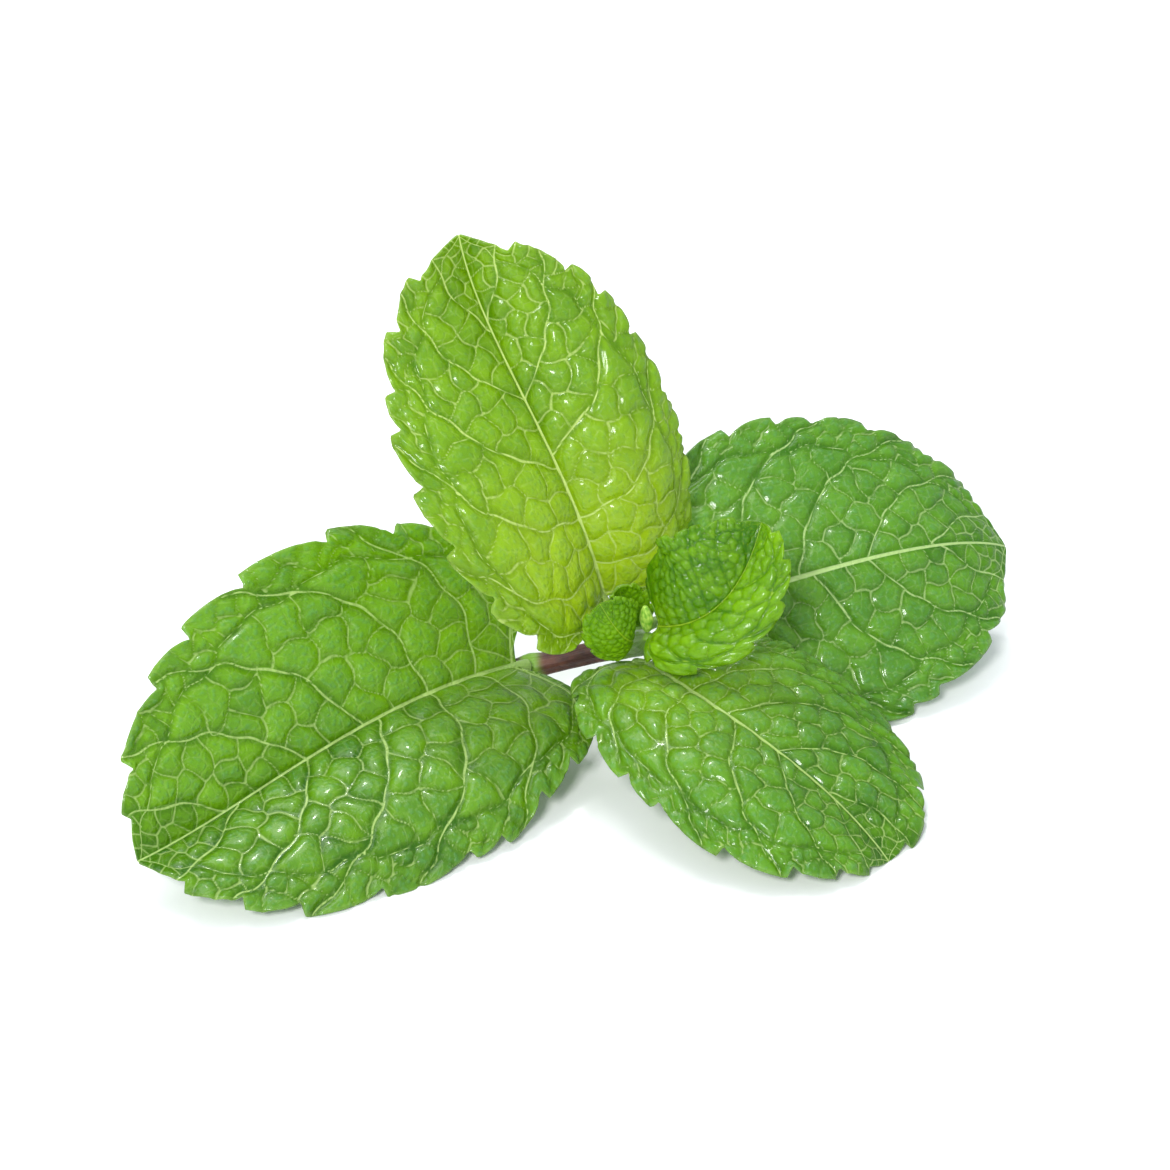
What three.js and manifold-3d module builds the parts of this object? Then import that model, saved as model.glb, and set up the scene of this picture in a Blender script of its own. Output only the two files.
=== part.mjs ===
// A cut sprig of spearmint lying on a flat surface, in millimetres, +Z up.
// A square stem runs from its cut end on the surface up through three nodes to the growing tip.
// It carries one big leaf at the lower node, three leaves at the two upper nodes, and young
// leaves cupped round the bud at its tip. Each leaf is a thin blade with a toothed edge, a
// ribbed and puckered face, a keel under its midrib and a short stalk.
import * as THREE from "three";
import { mergeVertices } from "three/addons/utils/BufferGeometryUtils.js";
import Module from "manifold-3d";

const wasm = await Module();
wasm.setup();

// Driving dimensions
const BLADE_THICKNESS = 0.7;
const KEEL_DEPTH = 0.5;
const KEEL_HALF_WIDTH = 0.7;
const STALK_RADIUS = 0.7;
const STALK_GAP = 0.5;
const STALK_ROOT = 4;
const STEM_RADIUS = 1.14;
const STEM_GROOVE = 0.1;
const NODE_SWELLING = 0.22;
const NODE_LENGTH = 1.3;
const MOST_PUCKER = 0.9;
const PUCKER_SHARE = 0.025;
const ROWS_PER_STRIP = 4;
const REST_HEIGHT = 0.25;

// How the side veins leave the midrib: the first ones lie close together near the base, and
// each then sweeps forward on its way to the edge
const VEIN_SPREAD = 2.3;
const VEIN_SWEEP = 1.5;

// Where an edge's first notch is, how far past a tooth's tip the next notch is, and how
// long a tooth of full depth is, as shares of the edge's length
const FIRST_NOTCH = 0.025;
const NOTCH_GAP = 0.012;
const FULL_TOOTH = 0.08;

// The way an unrolled leaf faces: up and a little to the front, or for a leaf that stands
// up at the tip, to the front and a little up
const LYING = new THREE.Vector3(0, -0.35, 0.94);
const STANDING = new THREE.Vector3(0.2, -0.93, 0.3);

// The stem's line, from the cut end through its three nodes to the growing tip
const CUT_END = new THREE.Vector3(-22.0, 4.4, 1.25);
const LOWER_NODE = new THREE.Vector3(-5.9, 3.0, 6.2);
const MIDDLE_NODE = new THREE.Vector3(3.8, 1.3, 9.8);
const UPPER_NODE = new THREE.Vector3(5.9, 0.3, 10.9);
const GROWING_TIP = new THREE.Vector3(6.9, -3.3, 13.8);
const STEM_PATH = [CUT_END, LOWER_NODE, MIDDLE_NODE, UPPER_NODE, GROWING_TIP];

// The closed bud stands on the growing tip
const BUD_DIRECTION = new THREE.Vector3(-0.08, -0.25, 1).normalize();
const BUD_LENGTH = 3.7;
const BUD_RADIUS = 0.68;
const BUD_PINCH = 0.15;

// One entry for each leaf. The midrib is four control points of a Bezier curve from the
// blade's base to its tip. Left and right are seen from above, looking from base to tip.
// Fold is the angle at which a half rises from the midrib, and curl is how far it turns on
// by its edge, in degrees. Teeth are the places of the tooth tips along each edge, as
// shares of its length.
const LEAVES = {
  leaf_lower: {
    midrib: [[-7.6, 0.3, 7.9], [-23.5, -11.6, 11.2], [-35.6, -22.7, 4.2], [-46.0, -33.4, 4.9]],
    node: LOWER_NODE,
    facing: LYING,
    roll: [5, 15],
    halfWidth: { left: 20.8, right: 20.3 },
    fold: { left: 33, right: 34 },
    curl: { left: -58, right: -9 },
    widestAt: 0.36,
    baseLobe: { left: 4.6, right: 4.6 },
    tipPower: 0.92,
    basePower: 0.92,
    toothDepth: 1.5,
    teeth: {
      left: [0.12, 0.24, 0.32, 0.42, 0.48, 0.63, 0.75, 0.83, 0.91],
      right: [0.1, 0.21, 0.31, 0.4, 0.53, 0.64, 0.73, 0.86, 0.93],
    },
    colour: 0x5fa314,
  },
  leaf_top: {
    midrib: [[2.0, 0.8, 16.5], [-1.4, -2.3, 35.4], [-11.7, 12.4, 42.5], [-13.5, 10.5, 55.6]],
    node: UPPER_NODE,
    facing: LYING,
    roll: [-5, 20],
    halfWidth: { left: 17.4, right: 15.8 },
    fold: { left: 32, right: 37 },
    curl: { left: -28, right: -80 },
    widestAt: 0.36,
    baseLobe: { left: 0.3, right: 4.8 },
    tipPower: 1.1,
    basePower: 0.66,
    toothDepth: 1.4,
    teeth: {
      left: [0.1, 0.22, 0.31, 0.4, 0.5, 0.6, 0.67, 0.78, 0.88],
      right: [0.1, 0.2, 0.31, 0.42, 0.5, 0.61, 0.7, 0.78, 0.9],
    },
    colour: 0x7cba1c,
  },
  leaf_back: {
    midrib: [[8.4, 4.4, 11.4], [27.6, 8.6, 15.9], [40.8, 14.4, 17.2], [48.9, 20.9, 11.6]],
    node: MIDDLE_NODE,
    facing: LYING,
    roll: [-30, -14],
    halfWidth: { left: 18.8, right: 18.5 },
    fold: { left: -4, right: -20 },
    curl: { left: 0, right: 16 },
    widestAt: 0.38,
    baseLobe: { left: 3.4, right: 3.4 },
    tipPower: 1.09,
    basePower: 0.78,
    toothDepth: 1.3,
    teeth: {
      left: [0.1, 0.2, 0.3, 0.41, 0.5, 0.56, 0.66, 0.77, 0.88],
      right: [0.1, 0.2, 0.3, 0.4, 0.5, 0.58, 0.64, 0.8, 0.9],
    },
    colour: 0x5a9a2c,
  },
  leaf_front: {
    midrib: [[6.9, -3.6, 10.6], [11.0, -15.0, 13.9], [25.1, -20.3, 8.1], [32.0, -26.9, 0.3]],
    node: UPPER_NODE,
    facing: LYING,
    roll: [5, 15],
    halfWidth: { left: 15.3, right: 14.7 },
    fold: { left: 11, right: 19 },
    curl: { left: -36, right: -58 },
    widestAt: 0.55,
    baseLobe: { left: 3.0, right: 1.8 },
    tipPower: 1.05,
    basePower: 0.76,
    toothDepth: 1.2,
    teeth: {
      left: [0.1, 0.2, 0.3, 0.39, 0.48, 0.58, 0.68, 0.8, 0.93],
      right: [0.1, 0.19, 0.28, 0.37, 0.45, 0.6, 0.75, 0.85, 0.93],
    },
    colour: 0x66aa18,
  },
  young_leaf_right: {
    midrib: [[8.0, -5.2, 16.3], [11.0, -8.5, 17.9], [16.6, -8.5, 19.4], [19.0, -3.5, 28.3]],
    node: GROWING_TIP,
    facing: LYING,
    roll: [-35, 15],
    halfWidth: { left: 9.6, right: 6.0 },
    fold: { left: 36, right: 28 },
    curl: { left: -30, right: -60 },
    widestAt: 0.44,
    baseLobe: { left: 2.4, right: 0.8 },
    tipPower: 1.1,
    basePower: 0.7,
    toothDepth: 0.8,
    teeth: {
      left: [0.16, 0.32, 0.48, 0.63, 0.78, 0.9],
      right: [0.16, 0.32, 0.48, 0.63, 0.78, 0.9],
    },
    colour: 0x6fb315,
  },
  young_leaf_left: {
    midrib: [[5.2, -5.8, 14.9], [4.6, -7.8, 15.8], [3.4, -8.8, 17.6], [1.6, -8.4, 21.0]],
    node: GROWING_TIP,
    facing: STANDING,
    roll: [0, 0],
    halfWidth: { left: 3.8, right: 3.8 },
    fold: { left: -10, right: -10 },
    curl: { left: -30, right: -30 },
    widestAt: 0.44,
    baseLobe: { left: 0.3, right: 0.3 },
    tipPower: 1.1,
    basePower: 0.7,
    toothDepth: 0.4,
    teeth: { left: [0.25, 0.45, 0.65, 0.85], right: [0.25, 0.45, 0.65, 0.85] },
    colour: 0x7cba1c,
  },
  young_leaf_inner: {
    midrib: [[4.4, -2.7, 14.7], [4.1, -2.3, 16.8], [3.9, -2.7, 18.6], [3.7, -4.1, 20.6]],
    node: GROWING_TIP,
    facing: STANDING,
    roll: [0, 0],
    halfWidth: { left: 2.2, right: 3.2 },
    fold: { left: 15, right: 0 },
    curl: { left: 10, right: 10 },
    widestAt: 0.24,
    baseLobe: { left: 0.2, right: 0.2 },
    tipPower: 1.0,
    basePower: 0.7,
    toothDepth: 0.4,
    teeth: { left: [0.25, 0.45, 0.65, 0.85], right: [0.25, 0.45, 0.65, 0.85] },
    colour: 0x8cc22a,
  },
};

// Points along a leaf's midrib, with the leaf's own directions at each: along it, to its
// right, and up out of its face. A roll in degrees turns the face about the midrib.
function midribStations(leaf, count = 48) {
  const curve = new THREE.CubicBezierCurve3(...leaf.midrib.map((p) => new THREE.Vector3(...p)));
  const length = curve.getLength();
  const stations = [];
  for (let i = 0; i <= count; i++) {
    const share = i / count;
    const along = curve.getTangentAt(share);
    const right = new THREE.Vector3().crossVectors(along, leaf.facing).normalize();
    const roll = THREE.MathUtils.degToRad(THREE.MathUtils.lerp(leaf.roll[0], leaf.roll[1], share));
    right.applyAxisAngle(along, -roll);
    const up = new THREE.Vector3().crossVectors(right, along);
    stations.push({ point: curve.getPointAt(share), along, right, up });
  }
  return { stations, length };
}

// The station at a distance x along the midrib, carried on straight past either end.
function stationAt(rib, x) {
  const place = THREE.MathUtils.clamp(x / rib.length, 0, 1) * (rib.stations.length - 1);
  const before = rib.stations[Math.floor(place)];
  const after = rib.stations[Math.ceil(place)];
  const share = place - Math.floor(place);
  const mix = (key) => before[key].clone().lerp(after[key], share);
  const past = x - THREE.MathUtils.clamp(x, 0, rib.length);
  const along = mix("along").normalize();
  const point = mix("point").addScaledVector(along, past);
  return { point, along, right: mix("right").normalize(), up: mix("up").normalize() };
}

// Where a point of the flat leaf lies on the bent one. x runs along the midrib and y out to
// the right. Each half leaves the midrib at its fold angle and then turns on as an arc.
function bentPoint(leaf, rib, x, y) {
  const side = y < 0 ? "left" : "right";
  const station = stationAt(rib, x);
  const fold = THREE.MathUtils.degToRad(leaf.fold[side]);
  const bend = THREE.MathUtils.degToRad(leaf.curl[side] || 0.01) / leaf.halfWidth[side];
  const reach = Math.abs(y);
  const out = (Math.sin(fold + bend * reach) - Math.sin(fold)) / bend;
  const rise = (Math.cos(fold) - Math.cos(fold + bend * reach)) / bend;
  return station.point
    .addScaledVector(station.right, Math.sign(y) * out)
    .addScaledVector(station.up, rise);
}

// The direction out of the bent leaf's upper face at a point of the flat leaf.
function faceNormal(leaf, rib, x, y) {
  const step = 0.05;
  const across = (y0, y1) =>
    bentPoint(leaf, rib, x, y1).sub(bentPoint(leaf, rib, x, y0)).normalize();
  const alongLeaf = bentPoint(leaf, rib, x + step, y).sub(bentPoint(leaf, rib, x - step, y));
  const sideways = Math.abs(y) > step
    ? across(y - step, y + step)
    : across(-step, -1e-4).add(across(1e-4, step));
  return sideways.cross(alongLeaf).normalize();
}

// Half the flat leaf's smooth outline, from the base notch to the tip, with each point's
// share of the edge's length. The base half is an ellipse with a lobe that reaches back.
function smoothEdge(leaf, side, length, count = 200) {
  const lobeSpan = THREE.MathUtils.degToRad(70);
  const widest = leaf.widestAt * length;
  const points = [];
  for (let i = 0; i <= count; i++) {
    const turn = (Math.PI * i) / count;
    const forward = -Math.cos(turn);
    const lobe = turn < lobeSpan ? Math.sin((Math.PI * turn) / lobeSpan) ** 2 : 0;
    const reach = forward > 0 ? length - widest : widest;
    const x = widest + forward * reach - leaf.baseLobe[side] * lobe;
    const power = forward > 0 ? leaf.tipPower : leaf.basePower;
    const y = leaf.halfWidth[side] * Math.max(0, Math.sin(turn)) ** power;
    points.push(new THREE.Vector2(x, y));
  }
  const shares = [0];
  for (let i = 1; i <= count; i++) shares.push(shares[i - 1] + points[i].distanceTo(points[i - 1]));
  return { points, shares: shares.map((s) => s / shares[count]) };
}

// A point of the edge at a share of its length, moved out from the smooth edge and
// forward along it.
function edgePoint(edge, share, outward, forward) {
  let i = edge.shares.findIndex((s) => s >= share);
  i = THREE.MathUtils.clamp(i, 1, edge.shares.length - 1);
  const part = (share - edge.shares[i - 1]) / (edge.shares[i] - edge.shares[i - 1]);
  const along = edge.points[i].clone().sub(edge.points[i - 1]).normalize();
  const out = new THREE.Vector2(-along.y, along.x);
  return edge.points[i - 1].clone().lerp(edge.points[i], part)
    .addScaledVector(out, outward)
    .addScaledVector(along, forward);
}

// The toothed edge: for each tooth the notch before it, the round shoulder and the tip.
// Each row has its share of the edge's length and how far it stands out and forward.
function toothRows(leaf, side) {
  const teeth = leaf.teeth[side];
  const rows = [];
  teeth.forEach((tip, k) => {
    const notch = k === 0 ? FIRST_NOTCH : teeth[k - 1] + NOTCH_GAP;
    const depth = leaf.toothDepth * Math.min(1, (tip - notch) / FULL_TOOTH);
    rows.push({ share: notch, out: -0.35 * depth, forward: 0, droop: 0.3 });
    rows.push({ share: (notch + tip) / 2, out: 0.2 * depth, forward: 0, droop: 0.1 });
    rows.push({ share: tip, out: 0.65 * depth, forward: 0.35 * depth, droop: -0.4 });
  });
  const last = teeth[teeth.length - 1] + NOTCH_GAP;
  rows.push({ share: last, out: -0.2 * leaf.toothDepth, forward: 0, droop: 0 });
  rows.push({ share: (last + 1) / 2, out: 0, forward: 0, droop: 0 });
  return rows;
}

// How far the blade swells up between its veins, as a share of the most. A side vein lies
// on every fourth row, a finer one halfway between, and cross veins on the odd columns.
function swellShare(row, column) {
  const dome = column % 2 === 0;
  const uneven = 1 + 0.25 * Math.sin(5 * row + 3 * column);
  if (row % ROWS_PER_STRIP === 0) return 0;
  if (row % 2 === 0) return dome ? 0.4 : 0.1;
  return dome ? uneven : 0.25;
}

// The blade as one closed sheet: the same grid of triangles on its upper and lower faces,
// joined round the toothed edge. Its rows fan out from the midrib as the side veins do.
function bladeGeometry(leaf, rib, columns) {
  const pucker = Math.min(MOST_PUCKER, PUCKER_SHARE * rib.length);
  const teeth = { left: toothRows(leaf, "left"), right: toothRows(leaf, "right") };
  const edges = {
    left: smoothEdge(leaf, "left", rib.length),
    right: smoothEdge(leaf, "right", rib.length),
  };
  const rowCount = teeth.left.length;
  const flat = [];
  const add = (x, y, swell, keel) => flat.push({ x, y, swell, keel }) - 1;
  const base = add(0, 0, 0, KEEL_DEPTH);
  const rows = [];
  for (let row = 0; row < rowCount; row++) {
    const even = (row + 1) / (rowCount + 1);
    const start = rib.length * THREE.MathUtils.lerp(even, even ** VEIN_SPREAD, 0.8);
    const line = [];
    for (let column = -columns; column <= columns; column++) {
      if (column === 0) {
        line.push(add(start, 0, 0, KEEL_DEPTH * (1 - even)));
        continue;
      }
      const side = column < 0 ? "left" : "right";
      const tooth = teeth[side][row];
      const step = (Math.abs(column) - 1) / (columns - 1);
      const share = THREE.MathUtils.lerp(even, tooth.share, step ** 2);
      const atRim = step === 1;
      const end = edgePoint(edges[side], share, atRim ? tooth.out : 0, atRim ? tooth.forward : 0);
      const keelShare = Math.min(KEEL_HALF_WIDTH / end.y, 0.5 / columns);
      const out = THREE.MathUtils.lerp(keelShare, 1, step);
      const x = THREE.MathUtils.lerp(start, end.x, out ** VEIN_SWEEP);
      const swell = atRim ? tooth.droop : swellShare(row, Math.abs(column));
      line.push(add(x, Math.sign(column) * end.y * out, pucker * swell, 0));
    }
    rows.push(line);
  }
  const tip = add(rib.length, 0, 0, 0);

  const faces = [];
  for (let j = 0; j < 2 * columns; j++) {
    faces.push([base, rows[0][j + 1], rows[0][j]]);
    for (let i = 0; i + 1 < rowCount; i++) {
      const [a, b, c, d] = [rows[i][j], rows[i][j + 1], rows[i + 1][j + 1], rows[i + 1][j]];
      if (j < columns) faces.push([a, b, c], [a, c, d]);
      else faces.push([a, b, d], [b, c, d]);
    }
    faces.push([rows[rowCount - 1][j], rows[rowCount - 1][j + 1], tip]);
  }
  const right = rows.map((line) => line[2 * columns]);
  const left = rows.map((line) => line[0]).reverse();
  const rim = [base, ...right, tip, ...left];

  const positions = [];
  for (const face of [1, -1]) {
    for (const v of flat) {
      const normal = faceNormal(leaf, rib, v.x, v.y);
      const lift = v.swell + face * (BLADE_THICKNESS / 2) - (face < 0 ? v.keel : 0);
      positions.push(...bentPoint(leaf, rib, v.x, v.y).addScaledVector(normal, lift).toArray());
    }
  }
  const under = flat.length;
  const index = [];
  for (const [a, b, c] of faces) index.push(a, b, c, a + under, c + under, b + under);
  rim.forEach((a, i) => {
    const b = rim[(i + 1) % rim.length];
    index.push(a, a + under, b, b, a + under, b + under);
  });
  return closedGeometry(positions, index);
}

// A geometry from its points and the triangles between them.
function closedGeometry(positions, index) {
  const geometry = new THREE.BufferGeometry();
  geometry.setAttribute("position", new THREE.Float32BufferAttribute(positions, 3));
  geometry.setIndex(index);
  return geometry;
}

// A rod along a curve with flat ends. radiusAt gives its radius for a share of its length
// and an angle round it.
function rodGeometry(curve, sides, steps, radiusAt) {
  const frames = curve.computeFrenetFrames(steps, false);
  const positions = [];
  for (let i = 0; i <= steps; i++) {
    const centre = curve.getPointAt(i / steps);
    for (let k = 0; k < sides; k++) {
      const angle = (2 * Math.PI * k) / sides;
      const radius = radiusAt(i / steps, angle);
      const point = centre.clone()
        .addScaledVector(frames.normals[i], radius * Math.cos(angle))
        .addScaledVector(frames.binormals[i], radius * Math.sin(angle));
      positions.push(...point.toArray());
    }
  }
  const index = [];
  for (let i = 0; i < steps; i++) {
    for (let k = 0; k < sides; k++) {
      const [a, b] = [i * sides + k, i * sides + ((k + 1) % sides)];
      index.push(a, b, a + sides, b, b + sides, a + sides);
    }
  }
  const last = steps * sides;
  for (let k = 1; k + 1 < sides; k++) {
    index.push(0, k + 1, k);
    index.push(last, last + k, last + k + 1);
  }
  return closedGeometry(positions, index);
}

// A closed geometry as a solid that can be joined and cut, and back again.
function solidOf(geometry) {
  const bare = new THREE.BufferGeometry();
  bare.setAttribute("position", geometry.getAttribute("position"));
  bare.setIndex(geometry.index);
  const merged = mergeVertices(bare, 1e-4);
  return new wasm.Manifold(new wasm.Mesh({
    numProp: 3,
    vertProperties: merged.attributes.position.array,
    triVerts: new Uint32Array(merged.index.array),
  }));
}

function geometryOf(solid) {
  const mesh = solid.getMesh();
  return closedGeometry(Array.from(mesh.vertProperties), Array.from(mesh.triVerts));
}

// Everything below the surface that the sprig lies on, to cut its lowest points flat.
function belowSurface() {
  const slab = new THREE.BoxGeometry(200, 200, 20);
  slab.translate(0, 0, REST_HEIGHT - 10);
  return solidOf(slab);
}

// The leaf's stalk, from just clear of the stem's side to a root well inside the blade.
function stalkGeometry(leaf, rib) {
  const base = stationAt(rib, 0);
  const inside = stationAt(rib, Math.min(STALK_ROOT, 0.15 * rib.length));
  const under = -(BLADE_THICKNESS / 2 + 0.1);
  const joint = base.point.clone().addScaledVector(base.up, under);
  const root = inside.point.clone().addScaledVector(inside.up, under);
  const place = STEM_PATH.indexOf(leaf.node);
  const next = STEM_PATH[Math.min(place + 1, STEM_PATH.length - 1)];
  const stemDirection = next.clone().sub(STEM_PATH[place - 1]).normalize();
  const towards = joint.clone().sub(leaf.node).normalize();
  const lean = Math.abs(towards.dot(stemDirection));
  const sideways = towards.clone().projectOnPlane(stemDirection).normalize();
  const clear = STEM_RADIUS * (1 + NODE_SWELLING) + STALK_RADIUS * 1.2 * lean + STALK_GAP;
  const start = leaf.node.clone().addScaledVector(sideways, clear);
  const curve = new THREE.CatmullRomCurve3([start, joint, root]);
  const thin = Math.min(1, rib.length / 40);
  return rodGeometry(curve, 8, 7, (share) => STALK_RADIUS * thin * (1.15 - 0.45 * share));
}

// A leaf's blade and stalk as one piece. A bigger leaf has more columns of puckers.
function leafMesh(name, leaf) {
  const rib = midribStations(leaf);
  const columns = rib.length > 30 ? 9 : rib.length > 12 ? 5 : 3;
  const whole = solidOf(bladeGeometry(leaf, rib, columns))
    .add(solidOf(stalkGeometry(leaf, rib)))
    .subtract(belowSurface());
  const material = new THREE.MeshStandardMaterial({
    color: leaf.colour,
    roughness: 0.38,
    metalness: 0,
  });
  const mesh = new THREE.Mesh(geometryOf(whole), material);
  mesh.name = name;
  return mesh;
}

// The square, grooved stem, thicker at each node and drawn in to a blunt growing tip.
function stemMesh() {
  const curve = new THREE.CatmullRomCurve3(STEM_PATH);
  const nodes = [LOWER_NODE, MIDDLE_NODE, UPPER_NODE];
  const length = curve.getLength();
  const radiusAt = (share, angle) => {
    const here = curve.getPointAt(share);
    const swelling = nodes.reduce((sum, node) => {
      const away = here.distanceTo(node) / NODE_LENGTH;
      return sum + NODE_SWELLING * Math.exp(-away * away);
    }, 0);
    const toTip = (1 - share) * length;
    const taper = THREE.MathUtils.clamp(0.45 + toTip / 5, 0.45, 1);
    const square = 1 + STEM_GROOVE * Math.cos(4 * angle);
    return STEM_RADIUS * taper * (1 + Math.min(swelling, NODE_SWELLING)) * square;
  };
  const whole = solidOf(rodGeometry(curve, 16, 30, radiusAt)).subtract(belowSurface());
  const material = new THREE.MeshStandardMaterial({
    color: 0x4a2c22,
    roughness: 0.5,
    metalness: 0,
  });
  const mesh = new THREE.Mesh(geometryOf(whole), material);
  mesh.name = "stem";
  return mesh;
}

// The closed bud at the growing tip: a small pointed egg, pinched in where its leaves meet.
function budMesh() {
  const start = GROWING_TIP.clone().addScaledVector(BUD_DIRECTION, 2 * STALK_GAP);
  const end = start.clone().addScaledVector(BUD_DIRECTION, BUD_LENGTH);
  const radiusAt = (share, angle) => {
    const swell = Math.sin(Math.PI * (0.12 + 0.8 * share)) ** 0.8;
    return BUD_RADIUS * swell * (1 + BUD_PINCH * Math.cos(2 * angle));
  };
  const solid = solidOf(rodGeometry(new THREE.LineCurve3(start, end), 12, 8, radiusAt));
  const material = new THREE.MeshStandardMaterial({
    color: 0x9ac43a,
    roughness: 0.45,
    metalness: 0,
  });
  const mesh = new THREE.Mesh(geometryOf(solid), material);
  mesh.name = "tip_bud";
  return mesh;
}

const sprig = new THREE.Group();
sprig.add(stemMesh());
sprig.add(budMesh());
for (const [name, leaf] of Object.entries(LEAVES)) sprig.add(leafMesh(name, leaf));

// The origin is at the middle of the sprig's underside, on the surface that it lies on.
const bounds = new THREE.Box3().setFromObject(sprig, true);
const middle = bounds.getCenter(new THREE.Vector3());
sprig.position.set(-middle.x, -middle.y, -bounds.min.z);

export default sprig;
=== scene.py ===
# %% [markdown]
# # A sprig of spearmint
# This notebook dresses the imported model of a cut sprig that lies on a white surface: a square
# stem, four grown leaves, three young ones and the bud at the tip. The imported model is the
# fixed frame. Everything here is built in the same place and at the same size, in metres.

# %% Load the frame
import math

import bpy
import numpy as np
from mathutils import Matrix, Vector


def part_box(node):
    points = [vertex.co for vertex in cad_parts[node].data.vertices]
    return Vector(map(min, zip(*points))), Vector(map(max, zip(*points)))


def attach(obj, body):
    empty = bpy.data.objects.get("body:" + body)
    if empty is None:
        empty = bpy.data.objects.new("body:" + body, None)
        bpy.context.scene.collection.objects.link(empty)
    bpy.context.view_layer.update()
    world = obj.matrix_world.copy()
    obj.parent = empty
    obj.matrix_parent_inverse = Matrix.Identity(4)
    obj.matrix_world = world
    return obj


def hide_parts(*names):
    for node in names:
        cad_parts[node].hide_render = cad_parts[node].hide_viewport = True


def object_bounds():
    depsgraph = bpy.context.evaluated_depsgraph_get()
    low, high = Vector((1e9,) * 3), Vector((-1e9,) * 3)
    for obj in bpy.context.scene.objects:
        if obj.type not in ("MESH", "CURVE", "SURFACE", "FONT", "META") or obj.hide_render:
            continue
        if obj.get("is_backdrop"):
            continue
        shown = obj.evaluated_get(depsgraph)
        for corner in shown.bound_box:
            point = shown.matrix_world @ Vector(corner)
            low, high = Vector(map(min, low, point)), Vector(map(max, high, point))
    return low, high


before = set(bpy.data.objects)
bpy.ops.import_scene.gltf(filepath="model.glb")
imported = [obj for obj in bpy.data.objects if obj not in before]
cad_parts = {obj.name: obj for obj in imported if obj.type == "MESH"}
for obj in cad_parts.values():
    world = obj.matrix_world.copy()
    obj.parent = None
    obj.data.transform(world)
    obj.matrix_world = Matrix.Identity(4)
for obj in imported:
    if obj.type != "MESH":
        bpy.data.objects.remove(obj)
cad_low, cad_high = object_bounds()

scene = bpy.context.scene
print("pieces in the frame:", ", ".join(sorted(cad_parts)))
print("size of the frame in mm:", [round(1000 * s, 1) for s in cad_high - cad_low])

# %% [markdown]
# ## Units and the shared origin
# The leaves and the stem are given in millimetres, because that is how one measures a plant.
# The origin lies in the middle of the sprig's underside, so every length is first moved by one
# constant offset and then turned into metres.

# %% Units
MM = 0.001
TO_ORIGIN = np.array([-0.4663, 5.3410, -0.25])


def in_metres(points):
    """Points of the sprig in millimetres, moved to the frame's origin, in metres."""
    return (np.asarray(points) + TO_ORIGIN) * MM


print("offset to the frame's origin in mm:", TO_ORIGIN.tolist())

# %% [markdown]
# ## Camera
# The sprig is seen from the front and from about thirty degrees above, with a longer lens, as
# small things usually are. The camera is placed by its angle and distance, so one can look
# from higher up or from further away by changing a single number.

# %% Camera
CAMERA_ELEVATION = math.radians(30)
CAMERA_DISTANCE = 0.357
CAMERA_AIM = Vector((-0.000466, 0.005341, 0.01825))

back = Vector((0, -math.cos(CAMERA_ELEVATION), math.sin(CAMERA_ELEVATION)))
lens = bpy.data.cameras.new("camera")
lens.lens = 100
lens.sensor_width = 36
lens.clip_start = 0.01
camera = bpy.data.objects.new("camera", lens)
camera.location = CAMERA_AIM + CAMERA_DISTANCE * back
camera.rotation_euler = (math.pi / 2 - CAMERA_ELEVATION, 0, 0)
scene.collection.objects.link(camera)
scene.camera = camera
print("camera at", [round(c, 4) for c in camera.location])

# %% [markdown]
# ## Small helpers for materials
# A material is a tree of nodes. These helpers add a node, set its values and join it, so that
# the cells below read as a list of what each finish is made of.

# %% Node helpers
def add_node(tree, kind, inputs=None, **settings):
    """A node of a kind in a tree. inputs gives values or sockets by name or number."""
    node = tree.nodes.new(kind)
    for key, value in settings.items():
        setattr(node, key, value)
    for key, value in (inputs or {}).items():
        if isinstance(value, bpy.types.NodeSocket):
            tree.links.new(value, node.inputs[key])
        else:
            node.inputs[key].default_value = value
    return node


def math_node(tree, operation, first, *others):
    """The output of a Math node, or of a row of them for more than two values."""
    for other in others:
        first = add_node(tree, "ShaderNodeMath", {0: first, 1: other},
                         operation=operation).outputs[0]
    return first


def ramp(tree, value, low, high, to_low=0.0, to_high=1.0):
    """The value's range from low to high laid smoothly on the range to_low to to_high."""
    inputs = {"Value": value, "From Min": low, "From Max": high,
              "To Min": to_low, "To Max": to_high}
    node = add_node(tree, "ShaderNodeMapRange", inputs, interpolation_type="SMOOTHSTEP")
    return node.outputs["Result"]


def mix_colour(tree, factor, first, second):
    """A mix of two colours, each a socket or four numbers."""
    node = add_node(tree, "ShaderNodeMix", data_type="RGBA")
    sockets = (node.inputs[0], node.inputs[6], node.inputs[7])
    for socket, value in zip(sockets, (factor, first, second)):
        if isinstance(value, bpy.types.NodeSocket):
            tree.links.new(value, socket)
        else:
            socket.default_value = value
    return node.outputs[2]


def colour(hex_code):
    """A colour from its six hex digits, as Blender's linear numbers."""
    parts = [int(hex_code[i:i + 2], 16) / 255 for i in (0, 2, 4)]
    return [((p + 0.055) / 1.055) ** 2.4 if p > 0.04 else p / 12.92 for p in parts] + [1.0]


def new_material(name):
    """An empty material: its tree and its output's surface socket."""
    material = bpy.data.materials.new(name)
    material.use_nodes = True
    tree = material.node_tree
    tree.nodes.clear()
    return material, tree, add_node(tree, "ShaderNodeOutputMaterial").inputs["Surface"]


print("node helpers ready")

# %% [markdown]
# ## Floor
# The sprig lies on a plain white surface. It is much wider than the sprig, so that its edge
# stays out of sight, and a faint speckle keeps it from looking like bare paper.

# %% Floor
FLOOR_WIDTH = 3.0

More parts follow.
